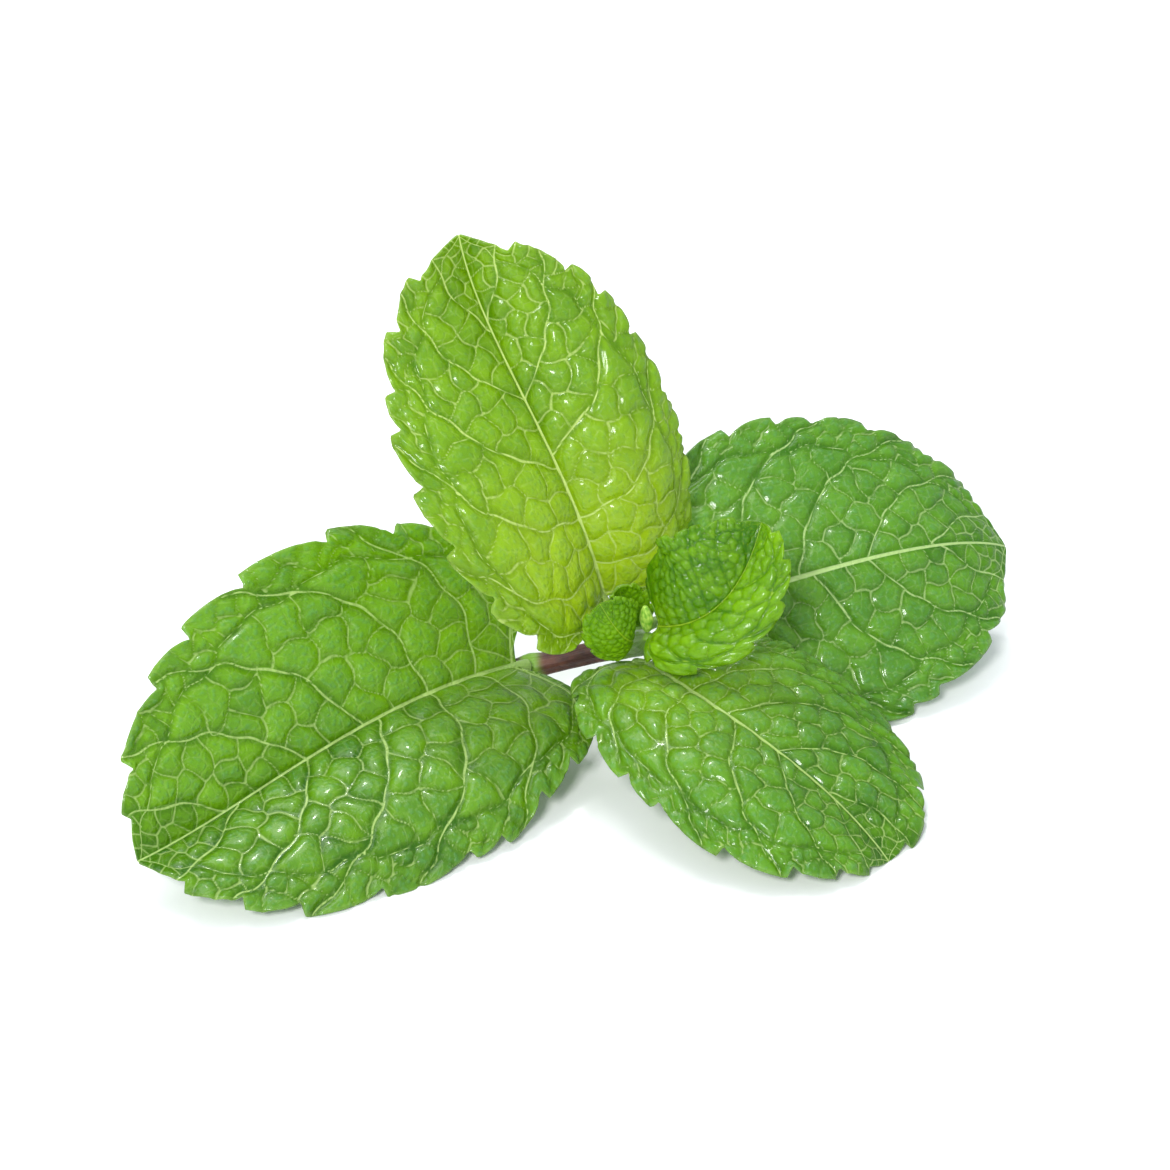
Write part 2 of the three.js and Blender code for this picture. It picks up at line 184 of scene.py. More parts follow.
floor_mesh = bpy.data.meshes.new("floor")
half = FLOOR_WIDTH / 2
floor_mesh.from_pydata([(-half, -half, 0), (half, -half, 0), (half, half, 0), (-half, half, 0)],
                       [], [(0, 1, 2, 3)])
floor = bpy.data.objects.new("floor", floor_mesh)
scene.collection.objects.link(floor)
floor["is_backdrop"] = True
floor_material, tree, surface = new_material("white_surface")
speckle = add_node(tree, "ShaderNodeTexNoise", {"Scale": 40.0, "Detail": 3.0}).outputs["Fac"]
white = mix_colour(tree, ramp(tree, speckle, 0.3, 0.7), (0.88, 0.89, 0.9, 1), (0.9, 0.905, 0.91, 1))
shader = add_node(tree, "ShaderNodeBsdfPrincipled", {"Base Color": white, "Roughness": 0.7})
tree.links.new(shader.outputs[0], surface)
floor_mesh.materials.append(floor_material)
print("floor", FLOOR_WIDTH, "m wide")

# %% [markdown]
# ## Light
# The light is even and soft, so only faint shadows gather where a leaf nearly touches the
# ground. White surroundings fill the shade. A wide lamp hangs behind and above, and makes the
# leaves glow where light passes them. Two small lamps, one above and one in front, draw the
# bright points on the waxy swellings: the smaller a lamp is, the sharper its reflection.

# %% Light
scene.view_settings.view_transform = "Standard"
world = bpy.data.worlds.new("white_room")
world.use_nodes = True
world.node_tree.nodes["Background"].inputs["Color"].default_value = (0.9, 0.96, 1.0, 1)
world.node_tree.nodes["Background"].inputs["Strength"].default_value = 0.82
scene.world = world


def soft_lamp(name, place, width, watts):
    """A square lamp that faces the sprig."""
    data = bpy.data.lights.new(name, "AREA")
    data.size = width
    data.energy = watts
    lamp = bpy.data.objects.new(name, data)
    lamp.location = place
    lamp.rotation_euler = (CAMERA_AIM - lamp.location).to_track_quat("-Z", "Y").to_euler()
    scene.collection.objects.link(lamp)
    return lamp


soft_lamp("lamp_behind", (-0.12, 0.16, 0.65), 0.35, 2.0)
soft_lamp("lamp_front", (-0.12, -0.5, 0.4), 0.12, 3.5)
soft_lamp("lamp_above", (-0.05, 0.2, 0.6), 0.05, 0.9)

# %% [markdown]
# ## The leaves' driving values
# A mint leaf is an egg-shaped blade with forward-pointing teeth. Each half rises from the
# midrib at its own angle (fold) and then turns on or over towards its edge (curl). The midrib
# is a curve of four control points from base to tip. These are the same values from which
# the frame's solids were made, so a leaf drawn from them lies exactly over its solid. Pairs
# give the left half first, as seen from the base. Only the painted shade of a half is added
# here: how much darker it is drawn where less light falls on it, and lighter below zero. It
# has no shape.

# %% Leaf values
LYING = np.array([0, -0.35, 0.94])
STANDING = np.array([0.2, -0.93, 0.3])
LOWER_NODE = np.array([-5.9, 3.0, 6.2])
MIDDLE_NODE = np.array([3.8, 1.3, 9.8])
UPPER_NODE = np.array([5.9, 0.3, 10.9])
GROWING_TIP = np.array([6.9, -3.3, 13.8])
CUT_END = np.array([-22.0, 4.4, 1.25])
STEM_PATH = np.array([CUT_END, LOWER_NODE, MIDDLE_NODE, UPPER_NODE, GROWING_TIP])

LEAVES = {
    "leaf_lower": dict(
        midrib=[[-7.6, 0.3, 7.9], [-23.5, -11.6, 11.2], [-35.6, -22.7, 4.2], [-46.0, -33.4, 4.9]],
        node=1, facing=LYING, roll=[5, 15], half_width=(20.8, 20.3), fold=(33, 34),
        curl=(-58, -9), widest=0.36, lobe=(4.6, 4.6), tip_power=0.92, base_power=0.92, tooth=1.5,
        # painted shade: the left half is drawn darker and the right half lighter
        painted_shade=(0.5, -0.3),
        teeth=([0.12, 0.24, 0.32, 0.42, 0.48, 0.63, 0.75, 0.83, 0.91],
               [0.1, 0.21, 0.31, 0.4, 0.53, 0.64, 0.73, 0.86, 0.93])),
    "leaf_top": dict(
        midrib=[[2.0, 0.8, 16.5], [-1.4, -2.3, 35.4], [-11.7, 12.4, 42.5], [-13.5, 10.5, 55.6]],
        node=3, facing=LYING, roll=[-5, 20], half_width=(17.4, 15.8), fold=(32, 37),
        curl=(-28, -80), widest=0.36, lobe=(0.3, 4.8), tip_power=1.1, base_power=0.66, tooth=1.4,
        teeth=([0.1, 0.22, 0.31, 0.4, 0.5, 0.6, 0.67, 0.78, 0.88],
               [0.1, 0.2, 0.31, 0.42, 0.5, 0.61, 0.7, 0.78, 0.9])),
    "leaf_back": dict(
        midrib=[[8.4, 4.4, 11.4], [27.6, 8.6, 15.9], [40.8, 14.4, 17.2], [48.9, 20.9, 11.6]],
        node=2, facing=LYING, roll=[-30, -14], half_width=(18.8, 18.5), fold=(-4, -20),
        curl=(0, 16), widest=0.38, lobe=(3.4, 3.4), tip_power=1.09, base_power=0.78, tooth=1.3,
        teeth=([0.1, 0.2, 0.3, 0.41, 0.5, 0.56, 0.66, 0.77, 0.88],
               [0.1, 0.2, 0.3, 0.4, 0.5, 0.58, 0.64, 0.8, 0.9])),
    "leaf_front": dict(
        midrib=[[6.9, -3.6, 10.6], [11.0, -15.0, 13.9], [25.1, -20.3, 8.1], [32.0, -26.9, 0.3]],
        node=3, facing=LYING, roll=[5, 15], half_width=(15.3, 14.7), fold=(11, 19),
        curl=(-36, -58), widest=0.55, lobe=(3.0, 1.8), tip_power=1.05, base_power=0.76, tooth=1.2,
        teeth=([0.1, 0.2, 0.3, 0.39, 0.48, 0.58, 0.68, 0.8, 0.93],
               [0.1, 0.19, 0.28, 0.37, 0.45, 0.6, 0.75, 0.85, 0.93])),
    "young_leaf_right": dict(
        midrib=[[8.0, -5.2, 16.3], [11.0, -8.5, 17.9], [16.6, -8.5, 19.4], [19.0, -3.5, 28.3]],
        node=4, facing=LYING, roll=[-35, 15], half_width=(9.6, 6.0), fold=(36, 28),
        curl=(-30, -60), widest=0.44, lobe=(2.4, 0.8), tip_power=1.1, base_power=0.7, tooth=0.8,
        # painted shade: the left half is drawn darker, as if it lay in shade
        painted_shade=(0.9, 0),
        teeth=([0.16, 0.32, 0.48, 0.63, 0.78, 0.9], [0.16, 0.32, 0.48, 0.63, 0.78, 0.9])),
    "young_leaf_left": dict(
        midrib=[[5.2, -5.8, 14.9], [4.6, -7.8, 15.8], [3.4, -8.8, 17.6], [1.6, -8.4, 21.0]],
        node=4, facing=STANDING, roll=[0, 0], half_width=(3.8, 3.8), fold=(-10, -10),
        curl=(-30, -30), widest=0.44, lobe=(0.3, 0.3), tip_power=1.1, base_power=0.7, tooth=0.4,
        teeth=([0.25, 0.45, 0.65, 0.85], [0.25, 0.45, 0.65, 0.85])),
    "young_leaf_inner": dict(
        midrib=[[4.4, -2.7, 14.7], [4.1, -2.3, 16.8], [3.9, -2.7, 18.6], [3.7, -4.1, 20.6]],
        node=4, facing=STANDING, roll=[0, 0], half_width=(2.2, 3.2), fold=(15, 0),
        curl=(10, 10), widest=0.24, lobe=(0.2, 0.2), tip_power=1.0, base_power=0.7, tooth=0.4,
        teeth=([0.25, 0.45, 0.65, 0.85], [0.25, 0.45, 0.65, 0.85])),
}
print(len(LEAVES), "leaves")

# %% [markdown]
# ## The midrib as a spine
# Every leaf hangs on its midrib. The curve is cut into stations of equal length, and each
# station keeps three directions: along the midrib, to its right, and up out of the face. A
# flat drawing of the leaf can then be laid over the spine and bent with it.

# %% Midrib
STATIONS = 48


def unit(vectors):
    """Vectors scaled to length one."""
    return vectors / np.linalg.norm(vectors, axis=-1, keepdims=True)


def lerp(low, high, share):
    """The value at a share of the way from low to high."""
    return low + (high - low) * share


def midrib_of(leaf):
    """The midrib's stations: points and the directions along, right and up, and its length."""
    a, b, c, d = (np.array(p)[None, :] for p in leaf["midrib"])
    t = np.linspace(0, 1, 2001)[:, None]
    curve = (1 - t) ** 3 * a + 3 * t * (1 - t) ** 2 * b + 3 * t * t * (1 - t) * c + t ** 3 * d
    way = np.concatenate([[0], np.cumsum(np.linalg.norm(np.diff(curve, axis=0), axis=1))])
    stops = np.interp(np.linspace(0, way[-1], STATIONS + 1), way, t[:, 0])[:, None]
    slope = (3 * (1 - stops) ** 2 * (b - a) + 6 * stops * (1 - stops) * (c - b)
             + 3 * stops ** 2 * (d - c))
    along = unit(slope)
    right = unit(np.cross(along, leaf["facing"]))
    roll = np.radians(np.linspace(*leaf["roll"], STATIONS + 1))[:, None]
    right = right * np.cos(roll) - np.cross(along, right) * np.sin(roll)
    points = np.stack([np.interp(stops[:, 0], t[:, 0], curve[:, k]) for k in range(3)], axis=1)
    return dict(point=points, along=along, right=right, up=np.cross(right, along), length=way[-1])


def station_at(rib, x):
    """Point and directions at distances x along the midrib, carried straight on past its ends."""
    place = np.clip(x / rib["length"], 0, 1) * STATIONS
    before = np.floor(place).astype(int)
    after = np.ceil(place).astype(int)
    share = (place - before)[..., None]
    keys = ("point", "along", "right", "up")
    mixed = {key: lerp(rib[key][before], rib[key][after], share) for key in keys}
    for key in keys[1:]:
        mixed[key] = unit(mixed[key])
    past = (x - np.clip(x, 0, rib["length"]))[..., None]
    mixed["point"] = mixed["point"] + mixed["along"] * past
    return mixed


for name, leaf in LEAVES.items():
    leaf["rib"] = midrib_of(leaf)
    print(f"{name}: midrib {leaf['rib']['length']:.1f} mm long")

# %% [markdown]
# ## Bending the flat leaf
# On the flat leaf x runs along the midrib and y out to the right. Each half leaves the midrib
# at its fold angle and follows an arc. Right at the midrib the fold is eased into a round
# valley, because a real blade never folds to a knife edge there.

# %% Bending
VALLEY_WIDTH = 0.6


def bent(leaf, x, y):
    """Where points of the flat leaf lie on the bent one."""
    at = station_at(leaf["rib"], x)
    pick = (y >= 0).astype(int)
    fold = np.radians(np.array(leaf["fold"], float))[pick]
    curl = np.array([c or 0.01 for c in leaf["curl"]])
    bend = (np.radians(curl) / np.array(leaf["half_width"]))[pick]
    reach = np.abs(y)
    out = (np.sin(fold + bend * reach) - np.sin(fold)) / bend
    rise = (np.cos(fold) - np.cos(fold + bend * reach)) / bend
    rise = rise * (1 - np.exp(-reach / VALLEY_WIDTH))
    return at["point"] + at["right"] * (np.sign(y) * out)[..., None] + at["up"] * rise[..., None]


def face_normal(leaf, x, y, step=0.05):
    """The direction out of the upper face."""
    across = bent(leaf, x, y + step) - bent(leaf, x, y - step)
    along = bent(leaf, x + step, y) - bent(leaf, x - step, y)
    return unit(np.cross(across, along))


tip = bent(LEAVES["leaf_top"], np.array([LEAVES["leaf_top"]["rib"]["length"]]), np.array([0.0]))
print("tip of the top leaf in mm:", np.round(in_metres(tip)[0] / MM, 1).tolist())

# %% [markdown]
# ## The toothed outline
# The smooth outline of a half leaf is an ellipse, with a lobe that reaches back past the stalk.
# On it sits a row of teeth: from each notch the edge swells out in a round shoulder to a
# point that leans forward, and drops steeply to the next notch. The edge also dips at each
# point and rises at each notch (droop), so that the margin is wavy when seen from the side.

# %% Outline
FIRST_NOTCH = 0.025
NOTCH_GAP = 0.012
FULL_TOOTH = 0.08
TOOTH_OUTLINE = [(0, -0.35), (0.12, -0.02), (0.3, 0.28), (0.55, 0.52), (0.8, 0.66), (1, 0.65)]
TOOTH_LEAN = 0.35
LOBE_SPAN = math.radians(70)


def smooth_edge(leaf, side, count=400):
    """Points of half the smooth outline from base to tip, and each one's share of its length."""
    length = leaf["rib"]["length"]
    turn = np.linspace(0, math.pi, count + 1)
    forward = -np.cos(turn)
    lobe = np.where(turn < LOBE_SPAN, np.sin(math.pi * turn / LOBE_SPAN) ** 2, 0)
    widest = leaf["widest"] * length
    reach = np.where(forward > 0, length - widest, widest)
    x = widest + forward * reach - leaf["lobe"][side] * lobe
    power = np.where(forward > 0, leaf["tip_power"], leaf["base_power"])
    y = leaf["half_width"][side] * np.maximum(0, np.sin(turn)) ** power
    way = np.concatenate([[0], np.cumsum(np.hypot(np.diff(x), np.diff(y)))])
    return x, y, way / way[-1]


def tooth_profile(leaf, side, place):
    """How far out and forward the toothed edge stands at shares of its length, and its droop.
    Each tooth goes from its notch over a shoulder to its point."""
    teeth = leaf["teeth"][side]
    share, out, forward, droop = [0.0], [0.0], [0.0], [0.0]
    for k, point in enumerate(teeth):
        notch = FIRST_NOTCH if k == 0 else teeth[k - 1] + NOTCH_GAP
        depth = leaf["tooth"] * min(1, (point - notch) / FULL_TOOTH)
        for part, bulge in TOOTH_OUTLINE:
            share.append(lerp(notch, point, part))
            out.append(bulge * depth)
            forward.append(TOOTH_LEAN * depth * part ** 2)
            droop.append(0.3 - 0.7 * part ** 2)
    last = teeth[-1] + NOTCH_GAP
    share += [last, (last + 1) / 2, 1.0]
    out += [-0.2 * leaf["tooth"], 0, 0]
    forward += [0, 0, 0]
    droop += [0, 0, 0]
    return [np.interp(place, share, values) for values in (out, forward, droop)]


def edge_point(edge, share, out, forward):
    """A point of the smooth edge at a share of its length, moved out and forward along it."""
    x, y, shares = edge
    step = 0.004
    at = [np.interp(np.clip(share, 0, 1), shares, v) for v in (x, y)]
    ahead = [np.interp(np.clip(share + step, 0, 1), shares, v) for v in (x, y)]
    behind = [np.interp(np.clip(share - step, 0, 1), shares, v) for v in (x, y)]
    along = unit(np.stack([ahead[0] - behind[0], ahead[1] - behind[1]], axis=-1))
    px = at[0] - along[..., 1] * out + along[..., 0] * forward
    py = at[1] + along[..., 0] * out + along[..., 1] * forward
    return px, np.maximum(py, 0)


print("teeth on the lower leaf:", [len(t) for t in LEAVES["leaf_lower"]["teeth"]])

# %% [markdown]
# ## A grid that follows the side veins
# The blade could be cut out of a square grid, but then the veins would run across its
# lines. Here the rows of the grid leave the midrib the way side veins do: close together near
# the base, slanting forward, and turning on along the edge before they reach it. A side
# vein is then simply a row with a whole number, and the strips between veins have fractions.
# Small leaves have small fields, so they get a finer grid.

# %% Blade grid
VEIN_STARTS = [0.0, 0.02, 0.11, 0.24, 0.39, 0.56, 0.76, 1.0]
VEIN_ENDS = [0.0, 0.19, 0.4, 0.58, 0.73, 0.85, 0.94, 1.0]
SMALL_VEIN_STARTS = [0.0, 0.03, 0.17, 0.38, 0.65, 1.0]
SMALL_VEIN_ENDS = [0.0, 0.25, 0.5, 0.72, 0.9, 1.0]
SMALL_LEAF = 15.0
VEIN_SWEEP = 1.1
VEIN_TURN = 0.2
TOOTH_BAND = 0.12
GRID_STEP = 0.25
SMALL_GRID_STEP = 0.11
VEIN_WANDER = 0.012


def vein_shares(leaf, side):
    """Where the side veins start on the midrib and end on the edge, as shares."""
    small = leaf["rib"]["length"] < SMALL_LEAF
    starts = np.array(SMALL_VEIN_STARTS if small else VEIN_STARTS)
    ends = np.array(SMALL_VEIN_ENDS if small else VEIN_ENDS)
    number = np.arange(len(starts))
    ease = np.sin(math.pi * starts)
    starts = starts + ease * (0.012 * np.sin(3 * number + 2 * side) + 0.02 * (side - 0.5))
    ends = ends + np.sin(math.pi * ends) * VEIN_WANDER * np.sin(5 * number + side)
    return starts, ends


def flat_points(leaf, side, vein, out):
    """x and y on the flat leaf for vein numbers and shares out from the midrib to the edge."""
    starts, ends = vein_shares(leaf, side)
    number = np.arange(len(starts))
    start = leaf["rib"]["length"] * np.interp(vein, number, starts)
    end = np.interp(vein, number, ends)
    share = end - VEIN_TURN * np.sin(math.pi * end) * (1 - out ** 2)
    tooth_out, tooth_forward, _ = tooth_profile(leaf, side, share)
    rim = np.clip((out - 1 + TOOTH_BAND) / TOOTH_BAND, 0, 1) ** 1.3
    end_x, end_y = edge_point(leaf["edges"][side], share, tooth_out * rim, tooth_forward * rim)
    return lerp(start, end_x, out ** VEIN_SWEEP), end_y * out


def grid_shares(leaf):
    """Vein numbers and shares out of the blade's grid, one grid step apart."""
    length = leaf["rib"]["length"]
    step = SMALL_GRID_STEP if length < SMALL_LEAF else GRID_STEP
    strips = len(vein_shares(leaf, 0)[0]) - 1
    per_strip = round(1.35 * length / strips / step)
    columns = round(max(leaf["half_width"]) / step)
    return np.arange(1, strips * per_strip) / per_strip, np.linspace(0, 1, columns + 1)


for name, leaf in LEAVES.items():
    leaf["edges"] = [smooth_edge(leaf, 0), smooth_edge(leaf, 1)]
    veins, outs = grid_shares(leaf)
    print(f"{name}: {len(veins)} rows of {2 * len(outs) - 1} points")

# %% [markdown]
# ## The net of veins
# Between two side veins a net of finer veins parts the blade into small fields, each of
# which swells up. Fields that grow until they meet form a Voronoi pattern, so seeds are
# strewn along every strip, and the distance from each point of the grid to the nearest border
# is measured. A second, smaller net does the same inside the fields.

# %% Vein net
def distance_to_line(x, y, line_x, line_y):
    """Distance from points to a polyline."""
    ax, ay = line_x[:-1], line_y[:-1]
    bx, by = np.diff(line_x), np.diff(line_y)
    px, py = x[:, None] - ax, y[:, None] - ay
    share = np.clip((px * bx + py * by) / np.maximum(bx * bx + by * by, 1e-9), 0, 1)
    return np.hypot(px - share * bx, py - share * by).min(axis=1)


def border_distance(x, y, seeds):
    """For points among seeds: the nearest seed, and the distance to its field's border."""
    gap = np.hypot(x[:, None] - seeds[:, 0], y[:, None] - seeds[:, 1])
    nearest = gap.argmin(axis=1)
    own = seeds[nearest]
    middle = (own[:, None, :] + seeds[None]) / 2
    away = seeds[None] - own[:, None, :]
    span = np.hypot(away[..., 0], away[..., 1])
    reach = ((middle[..., 0] - x[:, None]) * away[..., 0]
             + (middle[..., 1] - y[:, None]) * away[..., 1])
    reach = np.where(span > 1e-6, reach / np.maximum(span, 1e-6), 1e3)
    return nearest, np.abs(reach).min(axis=1)


def strip_seeds(leaf, side, strip, reach, field, draw):
    """Seeds for the fields of a strip between two side veins, in staggered steps outward."""
    seeds = []
    step = field / leaf["half_width"][side]
    steps = max(1, round((reach[1] - reach[0]) / step))
    for turn in range(steps):
        out = lerp(reach[0], reach[1], (turn + 0.5) / steps)
        low = flat_points(leaf, side, np.array([float(strip)]), np.array([out]))
        high = flat_points(leaf, side, np.array([strip + 1.0]), np.array([out]))
        width = math.hypot(high[0][0] - low[0][0], high[1][0] - low[1][0])
        across = max(1, round(width / field))
        for k in range(across):
            share = (k + 0.5 + 0.36 * (draw.random() - 0.5)) / across
            shift = (0.5 * ((k + turn) % 2) - 0.25 + 0.4 * (draw.random() - 0.5)) * step
            place = min(reach[1], max(reach[0], out + shift))
            at = flat_points(leaf, side, np.array([strip + share]), np.array([place]))
            seeds.append((at[0][0], at[1][0]))
    return np.array(seeds)


def small_net(x, y, pitch, draw):
    """Distance to the borders of a finer net of fields about one pitch wide."""
    table = 0.12 + 0.76 * draw.random((64, 64, 2))
    column, line = np.floor(x / pitch).astype(int), np.floor(y / pitch).astype(int)
    offsets = [(i, j) for i in range(-2, 3) for j in range(-2, 3)]
    sites = np.stack([np.stack([
        (column + i + table[(column + i) % 64, (line + j) % 64, 0]) * pitch,
        (line + j + table[(column + i) % 64, (line + j) % 64, 1]) * pitch], axis=-1)
        for i, j in offsets], axis=1)
    point = np.stack([x, y], axis=-1)[:, None, :]
    nearest = np.linalg.norm(sites - point, axis=-1).argmin(axis=1)
    own = sites[np.arange(len(x)), nearest][:, None, :]
    away = sites - own
    span = np.linalg.norm(away, axis=-1)
    reach = (((sites + own) / 2 - point) * away).sum(axis=-1) / np.maximum(span, 1e-6)
    return np.where(span > 1e-6, np.abs(reach), 1e3).min(axis=1)


test = border_distance(np.array([0.2]), np.array([0.0]), np.array([[0.0, 0.0], [1.0, 0.0]]))
print("distance from a test point to the border:", float(test[1][0]))

# %% [markdown]
# ## Fields that swell like cushions
# Between its veins a mint leaf bulges, because the blade grows more than the net that holds
# it. Height could be drawn by a formula of the distance to the veins, but that leaves flat
# tops and sharp ridges. A skin blown up under a net gives the right shape: every point rises
# to the mean of its neighbours plus a little, and the veins hold it down. At the margin
# nothing holds the skin, so the margin waves.

# %% Swelling
SWELL_PRESSURE = 1.5
TALLEST = 0.7
ROUNDS = 160
LEAST_STEP = 0.08


def blow_up(x, y, push, grip):
    """Heights of a skin under an even push, held down where grip is high. x and y in cells."""
    step_row = np.hypot(*(np.diff(v, axis=0, append=2 * v[-1:] - v[-2:-1]) for v in (x, y)))
    step_out = np.hypot(*(np.diff(v, axis=1, append=2 * v[:, -1:] - v[:, -2:-1]) for v in (x, y)))
    row_pull = 1 / np.maximum(step_row, LEAST_STEP) ** 2
    out_pull = 1 / np.maximum(step_out, LEAST_STEP) ** 2
    total = 2 * row_pull + 2 * out_pull + grip
    height = np.zeros_like(x)
    for _ in range(ROUNDS):
        around = np.pad(height, 1, mode="edge")
        rows = row_pull * (around[:-2, 1:-1] + around[2:, 1:-1])
        outs = out_pull * (around[1:-1, :-2] + around[1:-1, 2:])
        height = (rows + outs + push) / total
    return height


print("a skin settles in", ROUNDS, "rounds")

# %% [markdown]
# ## Side veins and their loops
# Each side vein runs out along its row of the grid. Before it reaches the edge it bends over
# to the next one in a loop. For every point of a half blade this cell measures how far the
# nearest side vein and the nearest loop are. The points are first shifted by a slow
# wave, because no vein on a real leaf is drawn with a ruler.

# %% Distances to the side veins
FAR = 50.0
LOOP_AT = 0.8
LOOP_BULGE = 0.05
LINE_POINTS = 90
LOOP_POINTS = 40


def wander(x, y, reach, length):
    """Points shifted by a slow wave, so that the lines between them bend."""
    a, b = 2 * math.pi * x / length, 2 * math.pi * y / length
    return (x + reach * np.sin(b + 0.7 * np.sin(a) + 1),
            y + reach * np.sin(1.1 * a + 0.6 * np.sin(b) + 2))


def loop_out(share):
    """How far out a loop stands at a share of the way from one side vein to the next."""
    return LOOP_AT + LOOP_BULGE * np.sin(math.pi * share)


def vein_distances(leaf, side, strip, x, y):
    """Distances from points of a strip to its side veins and to its loop."""
    last = len(vein_shares(leaf, side)[0]) - 1
    nearest = np.full(len(x), FAR)
    for number in (strip, strip + 1):
        if 0 < number < last:
            outs = np.linspace(0, 1, LINE_POINTS)
            line = flat_points(leaf, side, np.full(LINE_POINTS, float(number)), outs)
            nearest = np.minimum(nearest, distance_to_line(x, y, *line))
    share = np.linspace(0, 1, LOOP_POINTS)
    loop = flat_points(leaf, side, strip + share, loop_out(share))
    return nearest, distance_to_line(x, y, *loop)


print("loops stand", LOOP_AT, "to", LOOP_AT + LOOP_BULGE, "of the way out")

# %% [markdown]
# ## Even fields
# Strewn seeds give some fields that are far too large and some that are slivers. Moving each
# seed to the middle of its field, twice over, evens them out, and the borders between them
# then look like grown ones.

# %% Even fields
EVENING_ROUNDS = 2


def evened(seeds, x, y):
    """Seeds moved to the middle of the points that they own."""
    for _ in range(EVENING_ROUNDS):
        owner, _ = border_distance(x, y, seeds)
        owned = np.bincount(owner, minlength=len(seeds))
        middle = [np.bincount(owner, v, len(seeds)) / np.maximum(owned, 1) for v in (x, y)]
        seeds = np.where(owned[:, None] > 0, np.stack(middle, axis=-1), seeds)
    return seeds


print("seeds are evened", EVENING_ROUNDS, "times")

# %% [markdown]
# ## How firmly the veins hold
# The grip of a vein is strongest on its line and fades in a bell curve to both sides. Side
# veins and loops hold the skin almost still, the net holds it a little less, and the finest
# net only dents it.

# %% Grip
SIDE_GRIP, SIDE_WIDTH = 60.0, 0.34
NET_GRIP, NET_WIDTH = 34.0, 0.26
LOOP_GRIP, LOOP_WIDTH = 51.0, 0.28
FINE_GRIP, FINE_WIDTH = 1.1, 0.3


def bell(distance, width):
    """One on a line, fading to nothing at about twice the width."""
    return np.exp(-((distance / width) ** 2))


def grip_of(main, net, loop, fine, scale):
    """The grip at points from their distances to the veins."""
    grip = SIDE_GRIP * bell(main, SIDE_WIDTH * scale)
    grip += NET_GRIP * bell(net, NET_WIDTH * scale)
    grip += LOOP_GRIP * bell(loop, LOOP_WIDTH * scale)
    grip += FINE_GRIP * bell(fine, FINE_WIDTH * scale)
    return grip


print("grips:", SIDE_GRIP, LOOP_GRIP, NET_GRIP, FINE_GRIP)

# %% [markdown]
# ## Measuring one half of a blade
# This cell brings the steps together. For every point of a half's grid it works out where
# the point lies on the flat leaf, how far it is from each kind of vein, and how high the blade
# swells there. Fields differ in height and tone, as they do on a real leaf, and each also
# takes the painted shade of its half. Outside of the loops they are smaller and are pushed up
# harder.

# %% Half a blade
MOST_PUCKER = 0.8
LEAST_PUCKER = 0.32
PUCKER_SHARE = 0.03
FIELD_SHARE = 0.075
WIDEST_FIELD = 3.8
NARROWEST_FIELD = 0.85
OUTER_FIELD = 0.62
FINE_FIELDS = 2.6
OUTER_PUSH = 2.0
END_SHARE = 0.05
DROOP_FROM = 0.86


def strip_fields(leaf, side, strip, outer, field, draw):
    """Seeds for a strip's fields inside or outside of its loop."""
    reach = (LOOP_AT, 1.0) if outer else (0.0, LOOP_AT)
    return strip_seeds(leaf, side, strip, reach, field * (OUTER_FIELD if outer else 1), draw)


def half_blade(leaf, side, draw):
    """Everything known about the grid of one half: place, distances, swelling and droop."""
    veins, outs = grid_shares(leaf)
    length = leaf["rib"]["length"]
    vein, out = np.meshgrid(veins, outs, indexing="ij")
    x, y = flat_points(leaf, side, vein, out)
    field = min(WIDEST_FIELD, max(NARROWEST_FIELD, FIELD_SHARE * length))
    scale = field / WIDEST_FIELD
    pucker = min(MOST_PUCKER, max(LEAST_PUCKER, PUCKER_SHARE * length))
    bent_x, bent_y = wander(x, y, 0.09 * field, 1.3 * field)
    wavy_x, wavy_y = wander(x, y, 0.07 * field, 1.7 * field)

    _, ends = vein_shares(leaf, side)
    side_vein, loop, net = (np.full(x.shape, FAR) for _ in range(3))
    height, tint = np.ones(x.shape), np.zeros(x.shape)
    for strip in range(len(ends) - 1):
        inside = (vein >= strip) & (vein <= strip + 1)
        near = vein_distances(leaf, side, strip, wavy_x[inside], wavy_y[inside])
        side_vein[inside] = np.minimum(side_vein[inside], near[0])
        loop[inside] = np.minimum(loop[inside], near[1])
        for outer in (False, True):
            zone = inside & ((out > loop_out(vein % 1)) == outer)
            seeds = strip_fields(leaf, side, strip, outer, field, draw)
            if len(seeds) < 2 or not zone.any():
                continue
            seeds = evened(seeds, bent_x[zone], bent_y[zone])
            owner, gap = border_distance(bent_x[zone], bent_y[zone], seeds)
            net[zone] = np.minimum(net[zone], gap)
            push = 0.75 + 0.5 * draw.random(len(seeds))
            height[zone] = (push * OUTER_PUSH if outer else push)[owner]
            # Each field takes a random tone of its own, less the painted shade of its half.
            tint[zone] = draw.random(len(seeds))[owner] - leaf.get("painted_shade", (0, 0))[side]
    fine = small_net(bent_x.ravel(), bent_y.ravel() + 40 * side, field / FINE_FIELDS, draw)
    fine = fine.reshape(x.shape)

    grip = grip_of(np.minimum(side_vein, y), net, loop, fine, scale)
    skin = blow_up(x / scale, y / scale, SWELL_PRESSURE * height, grip)
    skin = TALLEST * np.tanh(skin / TALLEST)
    to_base, to_tip = x / (END_SHARE * length), (length - x) / (END_SHARE * length)
    skin = skin * (np.clip(to_base + 0.5, 0.25, 1) * np.clip(to_tip, 0.15, 1))
    _, _, droop = tooth_profile(leaf, side, np.interp(vein, np.arange(len(ends)), ends))
    lift = pucker * (skin + droop * np.clip((out - DROOP_FROM) / (1 - DROOP_FROM), 0, 1) ** 2)
    return dict(x=x, y=y, out=out, side_vein=np.minimum(side_vein, 1.6 * loop), net=net,
                fine=fine, swell=skin, tint=tint, lift=lift, scale=scale)


